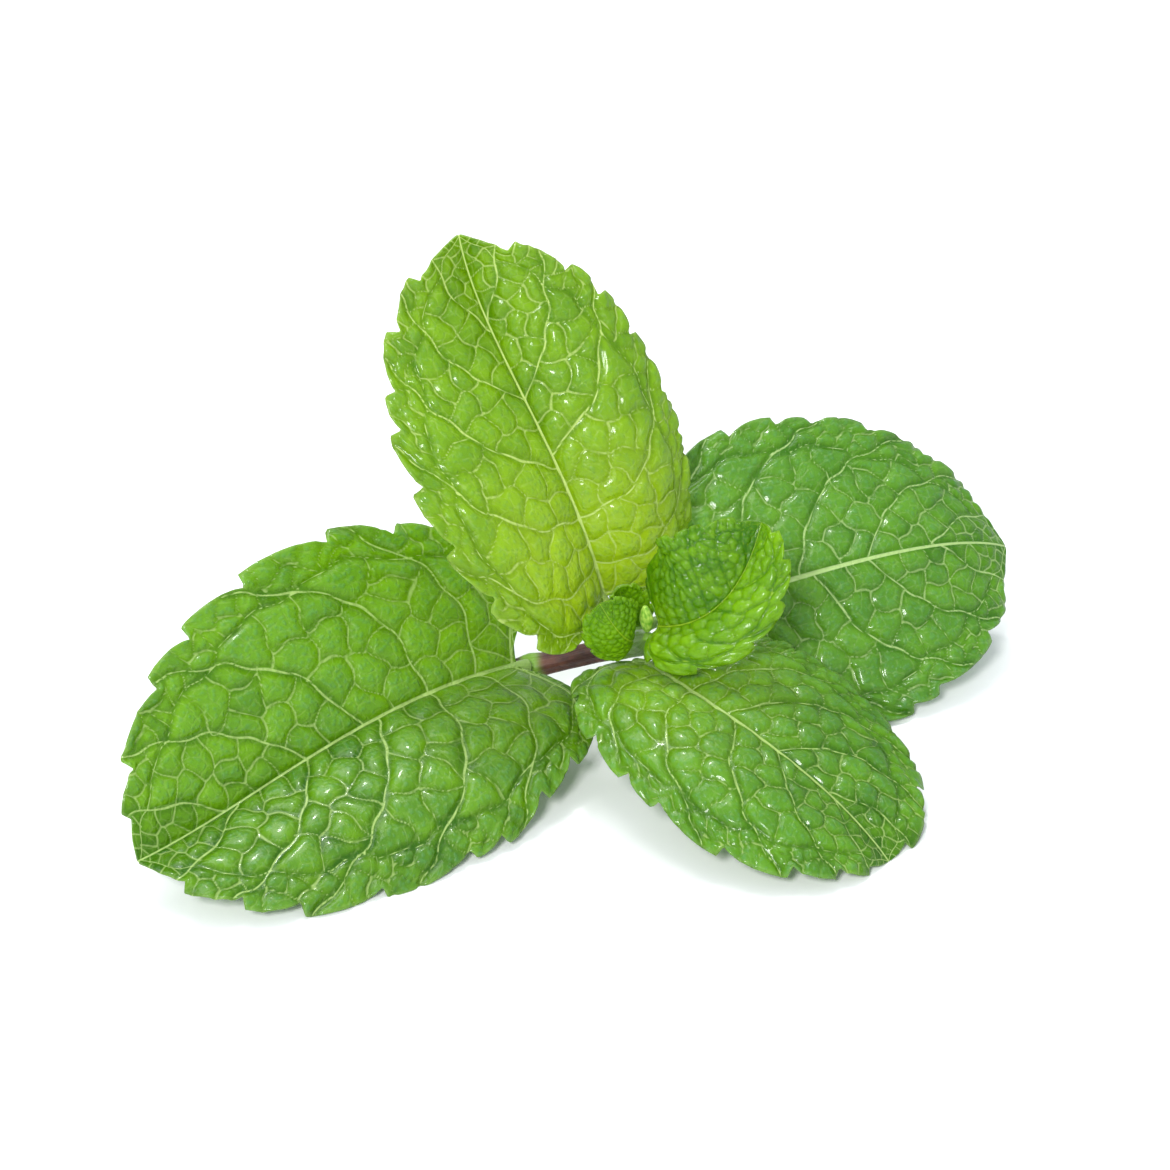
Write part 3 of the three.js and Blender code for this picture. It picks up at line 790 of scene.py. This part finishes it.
draw = np.random.default_rng(11)
for name, leaf in LEAVES.items():
    leaf["halves"] = [half_blade(leaf, side, draw) for side in (0, 1)]
    print(f"{name}: swells up to {max(h['lift'].max() for h in leaf['halves']):.2f} mm")

# %% [markdown]
# ## Skin for the blade
# A leaf could be a single sheet, but from the side it would have no thickness and light would
# pass it wrongly. So the grid is laid twice, as an upper and a lower face, and joined
# round the toothed edge.

# %% Closed sheet
def closed_sheet(rows, columns):
    """Triangles of a closed sheet: a grid, a base and a tip point, twice, joined at the rim.
    Grid points come first, then base and tip, then the same again for the lower face."""
    grid = np.arange(rows * columns).reshape(rows, columns)
    base, tip, under = rows * columns, rows * columns + 1, rows * columns + 2
    a, b, c, d = grid[:-1, :-1], grid[:-1, 1:], grid[1:, 1:], grid[1:, :-1]
    half = columns // 2
    faces = [
        np.stack([a[:, :half], b[:, :half], c[:, :half]], -1).reshape(-1, 3),
        np.stack([a[:, :half], c[:, :half], d[:, :half]], -1).reshape(-1, 3),
        np.stack([a[:, half:], b[:, half:], d[:, half:]], -1).reshape(-1, 3),
        np.stack([b[:, half:], c[:, half:], d[:, half:]], -1).reshape(-1, 3),
        np.stack([np.full(columns - 1, base), grid[0, 1:], grid[0, :-1]], -1),
        np.stack([grid[-1, :-1], grid[-1, 1:], np.full(columns - 1, tip)], -1),
    ]
    upper = np.concatenate(faces)
    rim = np.concatenate([[base], grid[:, -1], [tip], grid[::-1, 0]])
    after = np.roll(rim, -1)
    wall = np.concatenate([np.stack([rim, rim + under, after], -1),
                           np.stack([after, rim + under, after + under], -1)])
    return np.concatenate([upper, upper[:, ::-1] + under, wall])


print("a sheet of 3 by 3 points has", len(closed_sheet(3, 3)), "triangles")

# %% [markdown]
# ## The blade's two faces
# The upper face takes the swellings. The lower face follows them, and carries the veins as
# raised ribs, the midrib most of all. Both are kept just above the ground, where a leaf
# touches it. The distances to the veins are kept on the mesh, so that the material can draw
# the veins' colour.

# %% Blade mesh
UPPER_FACE = 0.1
LOWER_FACE = 0.26
EDGE_THICKNESS = 0.12
EDGE_DROP = 0.05
THIN_SHARE = 0.03
KEEL_DEPTH, KEEL_WIDTH = 0.6, 0.55
RIB_DEPTH, RIB_WIDTH = 0.26, 0.3
NET_RIB_DEPTH, NET_RIB_WIDTH = 0.1, 0.2
MIDRIB_LINE = (0.14, 0.45)
SIDE_LINE = (0.09, 0.125)
NET_LINE = 0.085
LOWEST_UPPER = 0.16
LOWEST_LOWER = 0.02


def whole_grid(leaf, key):
    """A value of both halves as one grid from the left edge to the right one."""
    left, right = (half[key] for half in leaf["halves"])
    return np.concatenate([left[:, :0:-1], right], axis=1)


def blade(leaf):
    """Points in millimetres, triangles and the per-point measures of a leaf's blade."""
    length = leaf["rib"]["length"]
    left, right = (half["y"] for half in leaf["halves"])
    y = np.concatenate([-left[:, :0:-1], right], axis=1)
    x, lift, out = (whole_grid(leaf, key) for key in ("x", "lift", "out"))
    side_vein, net, fine = (whole_grid(leaf, key) for key in ("side_vein", "net", "fine"))
    swell, tint = whole_grid(leaf, "swell"), whole_grid(leaf, "tint")
    scale = leaf["halves"][0]["scale"]
    shape = x.shape

    def with_ends(grid, at_base, at_tip):
        return np.concatenate([grid.ravel(), [at_base, at_tip]])

    x, y = with_ends(x, 0, length), with_ends(y, 0, 0)
    lift, out = with_ends(lift, 0, 0), with_ends(out, 1, 1)
    side_vein, net = with_ends(side_vein, 1, 1), with_ends(net, 1, 1)
    fine, swell, tint = with_ends(fine, 1, 1), with_ends(swell, 0, 0), with_ends(tint, 0.5, 0.5)

    to_tip = np.clip(1 - x / length, 0, 1)
    ribs = KEEL_DEPTH * scale * to_tip * bell(y, KEEL_WIDTH * scale)
    ribs += RIB_DEPTH * scale * (1 - out) * bell(side_vein, RIB_WIDTH * scale)
    ribs += NET_RIB_DEPTH * scale * (1 - out ** 4) * bell(net, NET_RIB_WIDTH * scale)
    thin = np.clip((1 - out) / THIN_SHARE, 0, 1)
    high = lerp(EDGE_THICKNESS / 2 - EDGE_DROP, UPPER_FACE, thin)
    low = lerp(EDGE_THICKNESS / 2 + EDGE_DROP, LOWER_FACE, thin)
    normal = face_normal(leaf, x, y)
    place = bent(leaf, x, y)
    upper = place + normal * (lift + high)[:, None]
    lower = place + normal * (lift - low - ribs)[:, None]
    floor_level = -TO_ORIGIN[2]
    upper[:, 2] = np.maximum(upper[:, 2], floor_level + LOWEST_UPPER)
    lower[:, 2] = np.maximum(lower[:, 2], floor_level + LOWEST_LOWER)

    midrib_half = scale * lerp(*MIDRIB_LINE, to_tip ** 1.5)
    vein_half = scale * lerp(*SIDE_LINE, np.clip(1 - out, 0, 1))
    lines = np.stack([np.abs(y) / midrib_half, side_vein / vein_half, net / (NET_LINE * scale)], -1)
    # form keeps the swelling, the distance in from the edge, and each field's tone with its painted
    # shade; the material paints light and shade from them.
    form = np.stack([swell, (1 - out) * max(leaf["half_width"]), tint], -1)
    flat = np.stack([x, y, fine / scale], -1)
    measures = dict(lines=np.clip(lines, 0, 12), form=form, flat=flat)
    measures = {k: np.concatenate([v, v]) for k, v in measures.items()}
    measures["under"] = np.repeat([0.0, 1.0], len(x))
    return np.concatenate([upper, lower]), closed_sheet(*shape), measures


points, faces, _ = blade(LEAVES["young_leaf_inner"])
print("smallest leaf:", len(points), "points,", len(faces), "triangles")

# %% [markdown]
# ## Tubes for stalks, stem and bud
# Stalks, stem and bud are tubes whose radius changes along their length and round their
# girth. One function makes them all: it carries a ring of points along a curve without
# letting it twist, and closes both ends with a cap that bulges a little.

# %% Tube mesh
def smooth_path(points, count):
    """count + 1 even steps along a centripetal Catmull-Rom curve through points."""
    points = np.asarray(points, float)
    ends = np.concatenate([[2 * points[0] - points[1]], points, [2 * points[-1] - points[-2]]])
    pieces = []
    for p0, p1, p2, p3 in zip(ends, ends[1:], ends[2:], ends[3:]):
        t0, t1, t2 = (np.linalg.norm(b - a) ** 0.5 for a, b in ((p0, p1), (p1, p2), (p2, p3)))
        m1 = ((p1 - p0) / t0 - (p2 - p0) / (t0 + t1) + (p2 - p1) / t1) * t1
        m2 = ((p2 - p1) / t1 - (p3 - p1) / (t1 + t2) + (p3 - p2) / t2) * t1
        t = np.linspace(0, 1, 200, endpoint=False)[:, None]
        pieces.append((2 * t ** 3 - 3 * t ** 2 + 1) * p1 + (t ** 3 - 2 * t ** 2 + t) * m1
                      + (3 * t ** 2 - 2 * t ** 3) * p2 + (t ** 3 - t ** 2) * m2)
    line = np.concatenate(pieces + [points[-1:]])
    way = np.concatenate([[0], np.cumsum(np.linalg.norm(np.diff(line, axis=0), axis=1))])
    even = np.linspace(0, way[-1], count + 1)
    return np.stack([np.interp(even, way, line[:, k]) for k in range(3)], axis=1), way[-1]


def tube(path, sides, radius_at, cap):
    """A closed tube along path. radius_at takes the share along it and the angle round it, and
    cap is how far its ends bulge. Their middles are the last two points, first the start's."""
    along = unit(np.gradient(path, axis=0))
    normal = unit(np.cross(along[0], [0.0, 0.3, 1.0]))
    rings = []
    steps = len(path) - 1
    angle = np.arange(sides) * 2 * math.pi / sides
    for i, (centre, forward) in enumerate(zip(path, along)):
        normal = unit(normal - forward * normal.dot(forward))
        other = np.cross(forward, normal)
        radius = radius_at(i / steps, angle)[:, None]
        outward = np.cos(angle)[:, None] * normal + np.sin(angle)[:, None] * other
        rings.append(centre + radius * outward)
    ends = [rings[0].mean(axis=0) - along[0] * cap, rings[-1].mean(axis=0) + along[-1] * cap]
    points = np.concatenate(rings + [np.array(ends)])
    grid = np.arange(len(path) * sides).reshape(len(path), sides)
    turn = np.roll(grid, -1, axis=1)
    a, b, c, d = grid[:-1], turn[:-1], turn[1:], grid[1:]
    first, last = len(points) - 2, len(points) - 1
    faces = [np.stack([a, b, c], -1).reshape(-1, 3), np.stack([a, c, d], -1).reshape(-1, 3),
             np.stack([turn[0], grid[0], np.full(sides, first)], -1),
             np.stack([grid[-1], turn[-1], np.full(sides, last)], -1)]
    share = np.concatenate([np.repeat(np.arange(len(path)) / steps, sides), [0, 1]])
    around = np.concatenate([np.tile(angle, len(path)), [0, 0]])
    return points, np.concatenate(faces), share, around


STEM_STEPS = 220
stem_line, stem_length = smooth_path(STEM_PATH, STEM_STEPS)
print(f"stem {stem_length:.1f} mm long")

# %% [markdown]
# ## From numbers to Blender objects
# One function turns points and triangles into a smooth-shaded object, writes the measures on
# it as mesh attributes, hangs it on the root and hides the frame's solid that it stands for.

# %% Make a piece
def make_piece(name, points, faces, measures, material, node):
    """A mesh object from points in millimetres that stands for a node of the frame."""
    mesh = bpy.data.meshes.new(name)
    mesh.from_pydata(in_metres(points).tolist(), [], faces.tolist())
    mesh.shade_smooth()
    for key, values in measures.items():
        kind, field = ("FLOAT_VECTOR", "vector") if values.ndim == 2 else ("FLOAT", "value")
        attribute = mesh.attributes.new(key, kind, "POINT")
        attribute.data.foreach_set(field, values.astype(np.float32).ravel())
    mesh.materials.append(material)
    piece = bpy.data.objects.new(name, mesh)
    scene.collection.objects.link(piece)
    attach(piece, "root")
    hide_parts(node)
    return piece


print("ready to make pieces")

# %% [markdown]
# ## Shared finish: vein lines
# Veins show as thin, pale lines. This group turns the distances kept on the mesh into
# one mask: wide for the midrib, narrower for the side veins, thin and weaker for the net. How
# strongly the net shows is an input, because on a young leaf it is still faint.

# %% Node group for vein lines
def group_with(name, inputs, outputs):
    """An empty node group with float or vector inputs and float outputs."""
    group = bpy.data.node_groups.new(name, "ShaderNodeTree")
    for label, kind, value in inputs:
        socket = group.interface.new_socket(name=label, in_out="INPUT", socket_type=kind)
        if value is not None:
            socket.default_value = value
    for label in outputs:
        group.interface.new_socket(name=label, in_out="OUTPUT", socket_type="NodeSocketFloat")
    entry = group.nodes.new("NodeGroupInput")
    leave = group.nodes.new("NodeGroupOutput")
    return group, entry, leave


vein_group, entry, leave = group_with("vein_lines", [
    ("Distances", "NodeSocketVector", None),
    ("Fine Distance", "NodeSocketFloat", 1.0),
    ("Net Strength", "NodeSocketFloat", 0.6),
    ("Fine Strength", "NodeSocketFloat", 0.15),
], ["Line", "Crease"])
parts = add_node(vein_group, "ShaderNodeSeparateXYZ", {0: entry.outputs["Distances"]})
midrib_line = ramp(vein_group, parts.outputs[0], 0.7, 1.25, 1, 0)
side_line = ramp(vein_group, parts.outputs[1], 0.4, 1.5, 0.9, 0)
net_line = ramp(vein_group, parts.outputs[2], 0.4, 2.1, 1, 0)
fine_line = ramp(vein_group, entry.outputs["Fine Distance"], 0.0, 0.16, 1, 0)
net_part = math_node(vein_group, "MULTIPLY", net_line, entry.outputs["Net Strength"])
fine_part = math_node(vein_group, "MULTIPLY", fine_line, entry.outputs["Fine Strength"])
line = math_node(vein_group, "MAXIMUM", midrib_line, side_line)
line = math_node(vein_group, "MAXIMUM", line, net_part)
line = math_node(vein_group, "MAXIMUM", line, fine_part)
vein_group.links.new(line, leave.inputs["Line"])
vein_group.links.new(math_node(vein_group, "MAXIMUM", net_line, fine_line), leave.inputs["Crease"])
print("group", vein_group.name, "has", len(vein_group.nodes), "nodes")

# %% [markdown]
# ## Shared finish: plant skin
# Leaf, stem and bud share a skin of tiny cells with oil glands in it. The group gives a
# slow mottling for the colour, a fine grain and glands for the bump, and rounder pebbles that
# break up the sheen. Each material sets the scales for itself.

# %% Node group for plant skin
skin_group, entry, leave = group_with("plant_skin", [
    ("Place", "NodeSocketVector", None),
    ("Mottle Scale", "NodeSocketFloat", 0.3),
    ("Grain Scale", "NodeSocketFloat", 6.0),
    ("Pebble Scale", "NodeSocketFloat", 1.7),
], ["Mottle", "Grain", "Gland", "Pebble"])
place = entry.outputs["Place"]


def noise(scale, detail):
    """A soft noise on the place, its scale given by an input of the group."""
    inputs = {"Vector": place, "Scale": entry.outputs[scale], "Detail": detail}
    return add_node(skin_group, "ShaderNodeTexNoise", inputs).outputs["Fac"]


def cells(scale, feature):
    """The distance to the nearest of many cells' centres."""
    inputs = {"Vector": place, "Scale": entry.outputs[scale]}
    return add_node(skin_group, "ShaderNodeTexVoronoi", inputs,
                    feature=feature).outputs["Distance"]


for label, value in {
    "Mottle": ramp(skin_group, noise("Mottle Scale", 4.0), 0.32, 0.68),
    "Grain": noise("Grain Scale", 2.0),
    "Gland": ramp(skin_group, cells("Grain Scale", "F1"), 0.0, 0.28, 1, 0),
    "Pebble": ramp(skin_group, cells("Pebble Scale", "SMOOTH_F1"), 0.0, 0.6, 1, 0),
}.items():
    skin_group.links.new(value, leave.inputs[label])
print("group", skin_group.name, "has", len(skin_group.nodes), "nodes")

# %% [markdown]
# ## Leaf colour
# Every field of a leaf has a slightly different green. The furrows along the veins are
# drawn darker and the tops of the swellings lighter, as painted shade and painted light. Near
# the stalk the leaf is yellower, partly as younger tissue and partly as a painted glow of the
# light that shines through it. The swellings carry a blotchy, bluish painted sheen, the
# reflection of the room's light on their wax. Veins and the edge are paler, and the lower face
# is duller and lighter. Each of these is one mix, laid over the last.

# %% Leaf colour
# The colour of the painted sheen: the room's reflection on the waxy swellings.
PAINTED_SHEEN_COLOUR = "5c9a62"
UNDERSIDE = (0.3, 0.42, 0.16, 1)
VEIN_STRENGTH = 0.92


def leaf_measures(tree):
    """The measures kept on a blade's mesh, as sockets by name."""
    at = {key: add_node(tree, "ShaderNodeAttribute", attribute_name=key).outputs["Vector"]
          for key in ("lines", "flat", "form")}
    at["under"] = add_node(tree, "ShaderNodeAttribute", attribute_name="under").outputs["Fac"]
    form = add_node(tree, "ShaderNodeSeparateXYZ", {0: at["form"]}).outputs
    flat = add_node(tree, "ShaderNodeSeparateXYZ", {0: at["flat"]}).outputs
    at.update(swell=form[0], rim=form[1], tint=form[2], along=flat[0], fine=flat[2])
    return at


def leaf_green(tree, at, veins, skin, look):
    """The colour of a leaf's skin. look gives its colours and strengths by name."""
    dark, light, vein, glow = (colour(look[key]) for key in ("dark", "light", "vein", "glow"))
    # Painted light: the swell term draws the tops of the swellings lighter. The tone term is each
    # field's own tone with the painted shade of its half.
    shade = math_node(tree, "ADD", math_node(tree, "MULTIPLY", at["tint"], 0.35),
                      math_node(tree, "MULTIPLY", skin["Mottle"], 0.35),
                      ramp(tree, at["swell"], 0.0, 0.5, 0, 0.4))
    green = mix_colour(tree, shade, dark, light)
    # Painted shade: the furrows along the veins, where the swelling is low, are drawn darker.
    green = mix_colour(tree, ramp(tree, at["swell"], 0.0, 0.22, 0.3, 0), green, dark)
    # Near the stalk the green turns to the glow colour: partly younger tissue, partly a painted
    # glow of the light that shines through there.
    near_stalk = ramp(tree, at["along"], 0.0, look["reach"], look["yellow_and_glow"], 0)
    young = math_node(tree, "MULTIPLY", near_stalk, ramp(tree, at["rim"], 2.0, 9.0, 0.35, 1))
    green = mix_colour(tree, young, green, glow)
    # Painted sheen: the tops of the swellings turn bluish in blotches, a reflection painted into
    # the colour.
    sheen_blotches = ramp(tree, skin["Pebble"], 0.1, 0.8, 0.3, 1)
    sheen_on_top = ramp(tree, at["swell"], 0.22, 0.6, 0, look["painted_sheen"])
    green = mix_colour(tree, math_node(tree, "MULTIPLY", sheen_on_top, sheen_blotches), green, colour(PAINTED_SHEEN_COLOUR))
    green = mix_colour(tree, ramp(tree, at["rim"], 0.0, 0.4, 0.15, 0), green, vein)
    line = math_node(tree, "MULTIPLY", veins["Line"], VEIN_STRENGTH)
    green = mix_colour(tree, line, green, vein)
    return mix_colour(tree, math_node(tree, "MULTIPLY", at["under"], 0.4), green, UNDERSIDE)


print("leaf colour ready")

# %% [markdown]
# ## Leaf material
# A leaf is green by what it reflects and yellower by what shines through it. A Principled
# shader gives the skin, with a thin glossy coat for the wax, and a Translucent one, mixed in,
# lets the light from behind come through. Grain, glands and pebbles are a fine bump
# on top of the real swellings, and the veins lie in creases.

# %% Leaf material
def leaf_material(name, look):
    """A leaf's finish from its colours and strengths."""
    material, tree, surface = new_material(name)
    at = leaf_measures(tree)
    veins = add_node(tree, "ShaderNodeGroup", {
        "Distances": at["lines"], "Fine Distance": at["fine"], "Net Strength": look["net"]},
        node_tree=vein_group).outputs
    skin = add_node(tree, "ShaderNodeGroup", {"Place": at["flat"]}, node_tree=skin_group).outputs
    green = leaf_green(tree, at, veins, skin, look)
    shine = mix_colour(tree, veins["Line"], colour(look["glow"]), colour(look["vein"]))
    roughness = math_node(tree, "ADD", ramp(tree, skin["Grain"], 0.3, 0.7, 0.25, 0.42),
                          math_node(tree, "MULTIPLY", at["under"], 0.2))
    height = math_node(tree, "ADD", math_node(tree, "MULTIPLY", skin["Grain"], 0.35),
                       math_node(tree, "MULTIPLY", skin["Gland"], -0.12),
                       math_node(tree, "MULTIPLY", veins["Crease"], -0.5),
                       math_node(tree, "MULTIPLY", skin["Pebble"], 1.2))
    bump = add_node(tree, "ShaderNodeBump",
                    {"Height": height, "Strength": 0.5, "Distance": 0.00015})
    skin_shader = add_node(tree, "ShaderNodeBsdfPrincipled", {
        "Base Color": green, "Roughness": roughness, "Normal": bump.outputs[0],
        "Specular IOR Level": 0.2, "Coat Weight": 0.34, "Coat Roughness": 0.1})
    through_shader = add_node(tree, "ShaderNodeBsdfTranslucent", {"Color": shine})
    both = add_node(tree, "ShaderNodeMixShader", {
        0: look["through"], 1: skin_shader.outputs[0], 2: through_shader.outputs[0]})
    tree.links.new(both.outputs[0], surface)
    return material


print("leaf material ready")

# %% [markdown]
# ## The looks of the five finishes
# through is how much light passes the blade, net how pale the finer veins are, yellow_and_glow
# how yellow the leaf is drawn at its stalk, partly as younger tissue and partly as painted
# glow, reach how far that goes, in millimetres, and painted_sheen how strong the painted sheen
# on the swellings is. Most leaves share these, and differ in their four colours.

# %% Leaf finishes
PLAIN_LEAF = dict(through=0.3, net=0.6, yellow_and_glow=0.3, reach=26.0, painted_sheen=0.36)
LEAF_LOOKS = {
    "leaf_lower": dict(dark="2e5e02", light="6a9c06", vein="b4d07a", glow="8cb81a"),
    "leaf_top": dict(dark="3c6e02", light="7aa606", vein="d0e486", glow="b8d41c",
                     through=0.36, yellow_and_glow=0.7, painted_sheen=0.25),
    "leaf_back": dict(dark="2e640a", light="5e9414", vein="b8d488", glow="8cb838", yellow_and_glow=0.2),
    "leaf_front": dict(dark="285a02", light="5c9204", vein="b4d078", glow="94bc1c", yellow_and_glow=0.5),
    "young_leaf": dict(dark="387000", light="80b400", vein="a8cc2c", glow="a0c808",
                       through=0.42, net=0.3, yellow_and_glow=0.2, reach=6.0, painted_sheen=0.12),
}
FINISHES = {name: leaf_material(name, {**PLAIN_LEAF, **look}) for name, look in LEAF_LOOKS.items()}
print("leaf finishes:", ", ".join(FINISHES))

# %% [markdown]
# ## Stalks
# A short stalk runs from the side of the stem into the underside of each leaf's midrib. It
# stops just short of the stem, as the frame's solid does, because the two are pieces of
# their own.

# %% Stalks
STALK_RADIUS = 0.7
STALK_GROOVE, GROOVE_WIDTH = 0.12, 0.5
STALK_GAP = 0.5
STALK_ROOT = 4
BELOW_MIDRIB = 0.3
STEM_RADIUS = 1.14
NODE_SWELLING = 0.22


def stalk(leaf):
    """The stalk's tube, placed as on the frame's solid."""
    rib = leaf["rib"]
    base = station_at(rib, np.array([0.0]))
    inside = station_at(rib, np.array([min(STALK_ROOT, 0.15 * rib["length"])]))
    joint = base["point"][0] - BELOW_MIDRIB * base["up"][0]
    root = inside["point"][0] - BELOW_MIDRIB * inside["up"][0]
    here = leaf["node"]
    node = STEM_PATH[here]
    direction = unit(STEM_PATH[min(here + 1, 4)] - STEM_PATH[here - 1])
    towards = unit(joint - node)
    lean = abs(towards.dot(direction))
    sideways = unit(towards - direction * towards.dot(direction))
    clear = STEM_RADIUS * (1 + NODE_SWELLING) + STALK_RADIUS * 1.2 * lean + STALK_GAP
    path, _ = smooth_path([node + sideways * clear, joint, root], 40)
    thin = min(1, rib["length"] / 40)

    def radius_at(share, angle):
        from_top = np.mod(angle + math.pi / 2, 2 * math.pi) - math.pi
        groove = 1 - STALK_GROOVE * bell(from_top, GROOVE_WIDTH)
        return STALK_RADIUS * thin * (1.15 - 0.45 * share) * groove

    return tube(path, 28, radius_at, 0.1)


print("lower leaf's stalk:", len(stalk(LEAVES["leaf_lower"])[0]), "points")

# %% [markdown]
# ## Leaves
# Each blade is joined with its stalk to one piece. On the real leaf the stalk is simply the
# midrib carried on, so it wears the same material, drawn as one broad vein. A margin
# that waves a hair's breadth past the frame's box is held back to the box.

# %% Leaves
STALK_LINES = [0.95, 0.8, 5.0]
STALK_FORM = [0.6, 3.0, 0.5]
BOX_LOW, BOX_HIGH = (np.array(corner) / MM - TO_ORIGIN for corner in (cad_low, cad_high))


def make_leaf(name, leaf):
    """Blade and stalk as one piece."""
    points, faces, measures = blade(leaf)
    points = np.clip(points, BOX_LOW, BOX_HIGH)
    stalk_points, stalk_faces, share, around = stalk(leaf)
    count = len(stalk_points)
    more = dict(lines=np.tile(STALK_LINES, (count, 1)), form=np.tile(STALK_FORM, (count, 1)),
                flat=np.stack([20 * share, 2 * around, np.ones(count)], -1),
                under=np.full(count, 0.3))
    measures = {k: np.concatenate([v, more[k]]) for k, v in measures.items()}
    slot = "young_leaf" if name.startswith("young") else name
    return make_piece(name + "_blade", np.concatenate([points, stalk_points]),
                      np.concatenate([faces, stalk_faces + len(points)]), measures,
                      FINISHES[slot], name)


for name, leaf in LEAVES.items():
    piece = make_leaf(name, leaf)
    low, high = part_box(name)
    corners = np.array([v.co[:] for v in piece.data.vertices])
    below, above = np.array(low) - corners.min(axis=0), corners.max(axis=0) - np.array(high)
    past = 1000 * max(below.max(), above.max())
    print(f"{piece.name}: {len(corners)} points, {past:.2f} mm past its solid's box")

# %% [markdown]
# ## Stem
# Mint has a square stem with a groove along each side. The stem could be a plain square rod,
# but its fine lengthwise ridges and the swelling at each node are what one recognises, so
# they are in the radius. The same measure of a node's swelling later colours the stem.

# %% Stem shape
NODE_LENGTH = 1.3
STEM_GROOVE = 0.1
RIDGE = 0.012
NODES_ALONG = [LOWER_NODE, MIDDLE_NODE, UPPER_NODE]


def stem_swelling(share):
    """How strongly a node swells the stem at a share of its length, from 0 to 1."""
    step = share * STEM_STEPS
    place = [np.interp(step, np.arange(STEM_STEPS + 1), stem_line[:, k]) for k in range(3)]
    return min(1, sum(bell(np.linalg.norm(place - node), NODE_LENGTH) for node in NODES_ALONG))


def stem_radius(share, angle):
    """The stem's radius at a share of its length, round its girth."""
    swelling = 1 + NODE_SWELLING * stem_swelling(share)
    taper = min(1, 0.45 + (1 - share) * stem_length / 5)
    ridges = RIDGE * np.sin(22 * angle + 6 * math.sin(9 * share)) + RIDGE * math.sin(70 * share)
    return STEM_RADIUS * taper * swelling * (1 + STEM_GROOVE * np.cos(4 * angle) + ridges)


points, faces, share, around = tube(stem_line, 96, stem_radius, 0.08)
points[:, 2] = np.maximum(points[:, 2], -TO_ORIGIN[2] + LOWEST_LOWER)
print("stem:", len(points), "points")

# %% [markdown]
# ## Stem finish
# The stem is purple-brown where it has seen the sun, and green where the leaves join it and
# at its soft tip. The cut end shows the pale pith. Where these colours go is kept on the
# mesh, as it was for the leaves.

# %% Stem finish
TIP_FROM, TIP_FADE, TIP_GREEN = 0.84, 0.06, 0.9


def skin_on_tube(tree, mottle_scale, grain_scale):
    """The outputs of the plant skin, laid on a tube by its flat measures."""
    place = add_node(tree, "ShaderNodeAttribute", attribute_name="flat").outputs["Vector"]
    inputs = {"Place": place, "Mottle Scale": mottle_scale, "Grain Scale": grain_scale}
    return add_node(tree, "ShaderNodeGroup", inputs, node_tree=skin_group).outputs


def grain_bump(tree, grain):
    """A normal roughened by the fine grain."""
    inputs = {"Height": grain, "Strength": 0.5, "Distance": 0.0001}
    return add_node(tree, "ShaderNodeBump", inputs).outputs[0]


stem_material, tree, surface = new_material("stem")
skin = skin_on_tube(tree, 0.9, 9.0)
green_part = add_node(tree, "ShaderNodeAttribute", attribute_name="joint").outputs["Fac"]
pith = add_node(tree, "ShaderNodeAttribute", attribute_name="pith").outputs["Fac"]
brown = mix_colour(tree, skin["Mottle"], colour("43211a"), colour("5e3426"))
brown = mix_colour(tree, ramp(tree, green_part, 0.1, 0.9), brown, colour("6a9424"))
brown = mix_colour(tree, pith, brown, colour("cfd9a0"))
shader = add_node(tree, "ShaderNodeBsdfPrincipled", {
    "Base Color": brown, "Roughness": ramp(tree, skin["Grain"], 0.3, 0.7, 0.35, 0.6),
    "Normal": grain_bump(tree, skin["Grain"]), "Coat Weight": 0.1})
tree.links.new(shader.outputs[0], surface)

tip_green = np.clip((share - TIP_FROM) / TIP_FADE, 0, TIP_GREEN)
joint = np.maximum([stem_swelling(s) for s in share], tip_green)
CUT_MIDDLE = -2
pith_share = np.zeros(len(points))
pith_share[CUT_MIDDLE] = 1.0
measures = dict(flat=np.stack([share * stem_length, around * 1.2, 0 * share], -1), joint=joint,
                pith=pith_share)
stem = make_piece("stem_square", points, faces, measures, stem_material, "stem")
print(stem.name, "has", len(stem.data.vertices), "points")

# %% [markdown]
# ## Bud
# At the tip two folded leaflets still clasp each other. They are too small to open, so the
# bud is one pointed egg, pinched where the leaflets meet and ridged by their first veins.

# %% Bud
BUD_DIRECTION = unit(np.array([-0.08, -0.25, 1.0]))
BUD_LENGTH = 3.7
BUD_RADIUS = 0.68
BUD_PINCH = 0.15


def bud_radius(share, angle):
    """The bud's radius at a share of its length, round its girth."""
    swell = math.sin(math.pi * (0.12 + 0.8 * share)) ** 0.8
    folds = 0.05 * np.sin(7 * angle + 9 * share) * math.sin(math.pi * share)
    return BUD_RADIUS * swell * (1 + BUD_PINCH * np.cos(2 * angle) + folds)


bud_start = GROWING_TIP + 2 * STALK_GAP * BUD_DIRECTION
bud_path = bud_start + np.linspace(0, BUD_LENGTH, 41)[:, None] * BUD_DIRECTION
points, faces, share, around = tube(bud_path, 48, bud_radius, 0.05)
bud_material, tree, surface = new_material("tip_bud")
skin = skin_on_tube(tree, 1.5, 6.0)
green = mix_colour(tree, skin["Mottle"], colour("6aa624"), colour("b4d65a"))
shader = add_node(tree, "ShaderNodeBsdfPrincipled", {
    "Base Color": green, "Normal": grain_bump(tree, skin["Grain"]),
    "Roughness": ramp(tree, skin["Grain"], 0.3, 0.7, 0.35, 0.55)})
tree.links.new(shader.outputs[0], surface)
measures = dict(flat=np.stack([share * BUD_LENGTH, around, 0 * share], -1))
bud = make_piece("bud_folded", points, faces, measures, bud_material, "tip_bud")
print(bud.name, "has", len(bud.data.vertices), "points")

# %% [markdown]
# ## Sizes and the end
# The dressed sprig is meant to keep the frame's size. Both boxes are printed so that they can
# be compared.

# %% Sizes and finish
low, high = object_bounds()
print("frame in mm: ", [round(1000 * s, 2) for s in (*cad_low, *cad_high)])
print("visual in mm:", [round(1000 * s, 2) for s in (*low, *high)])
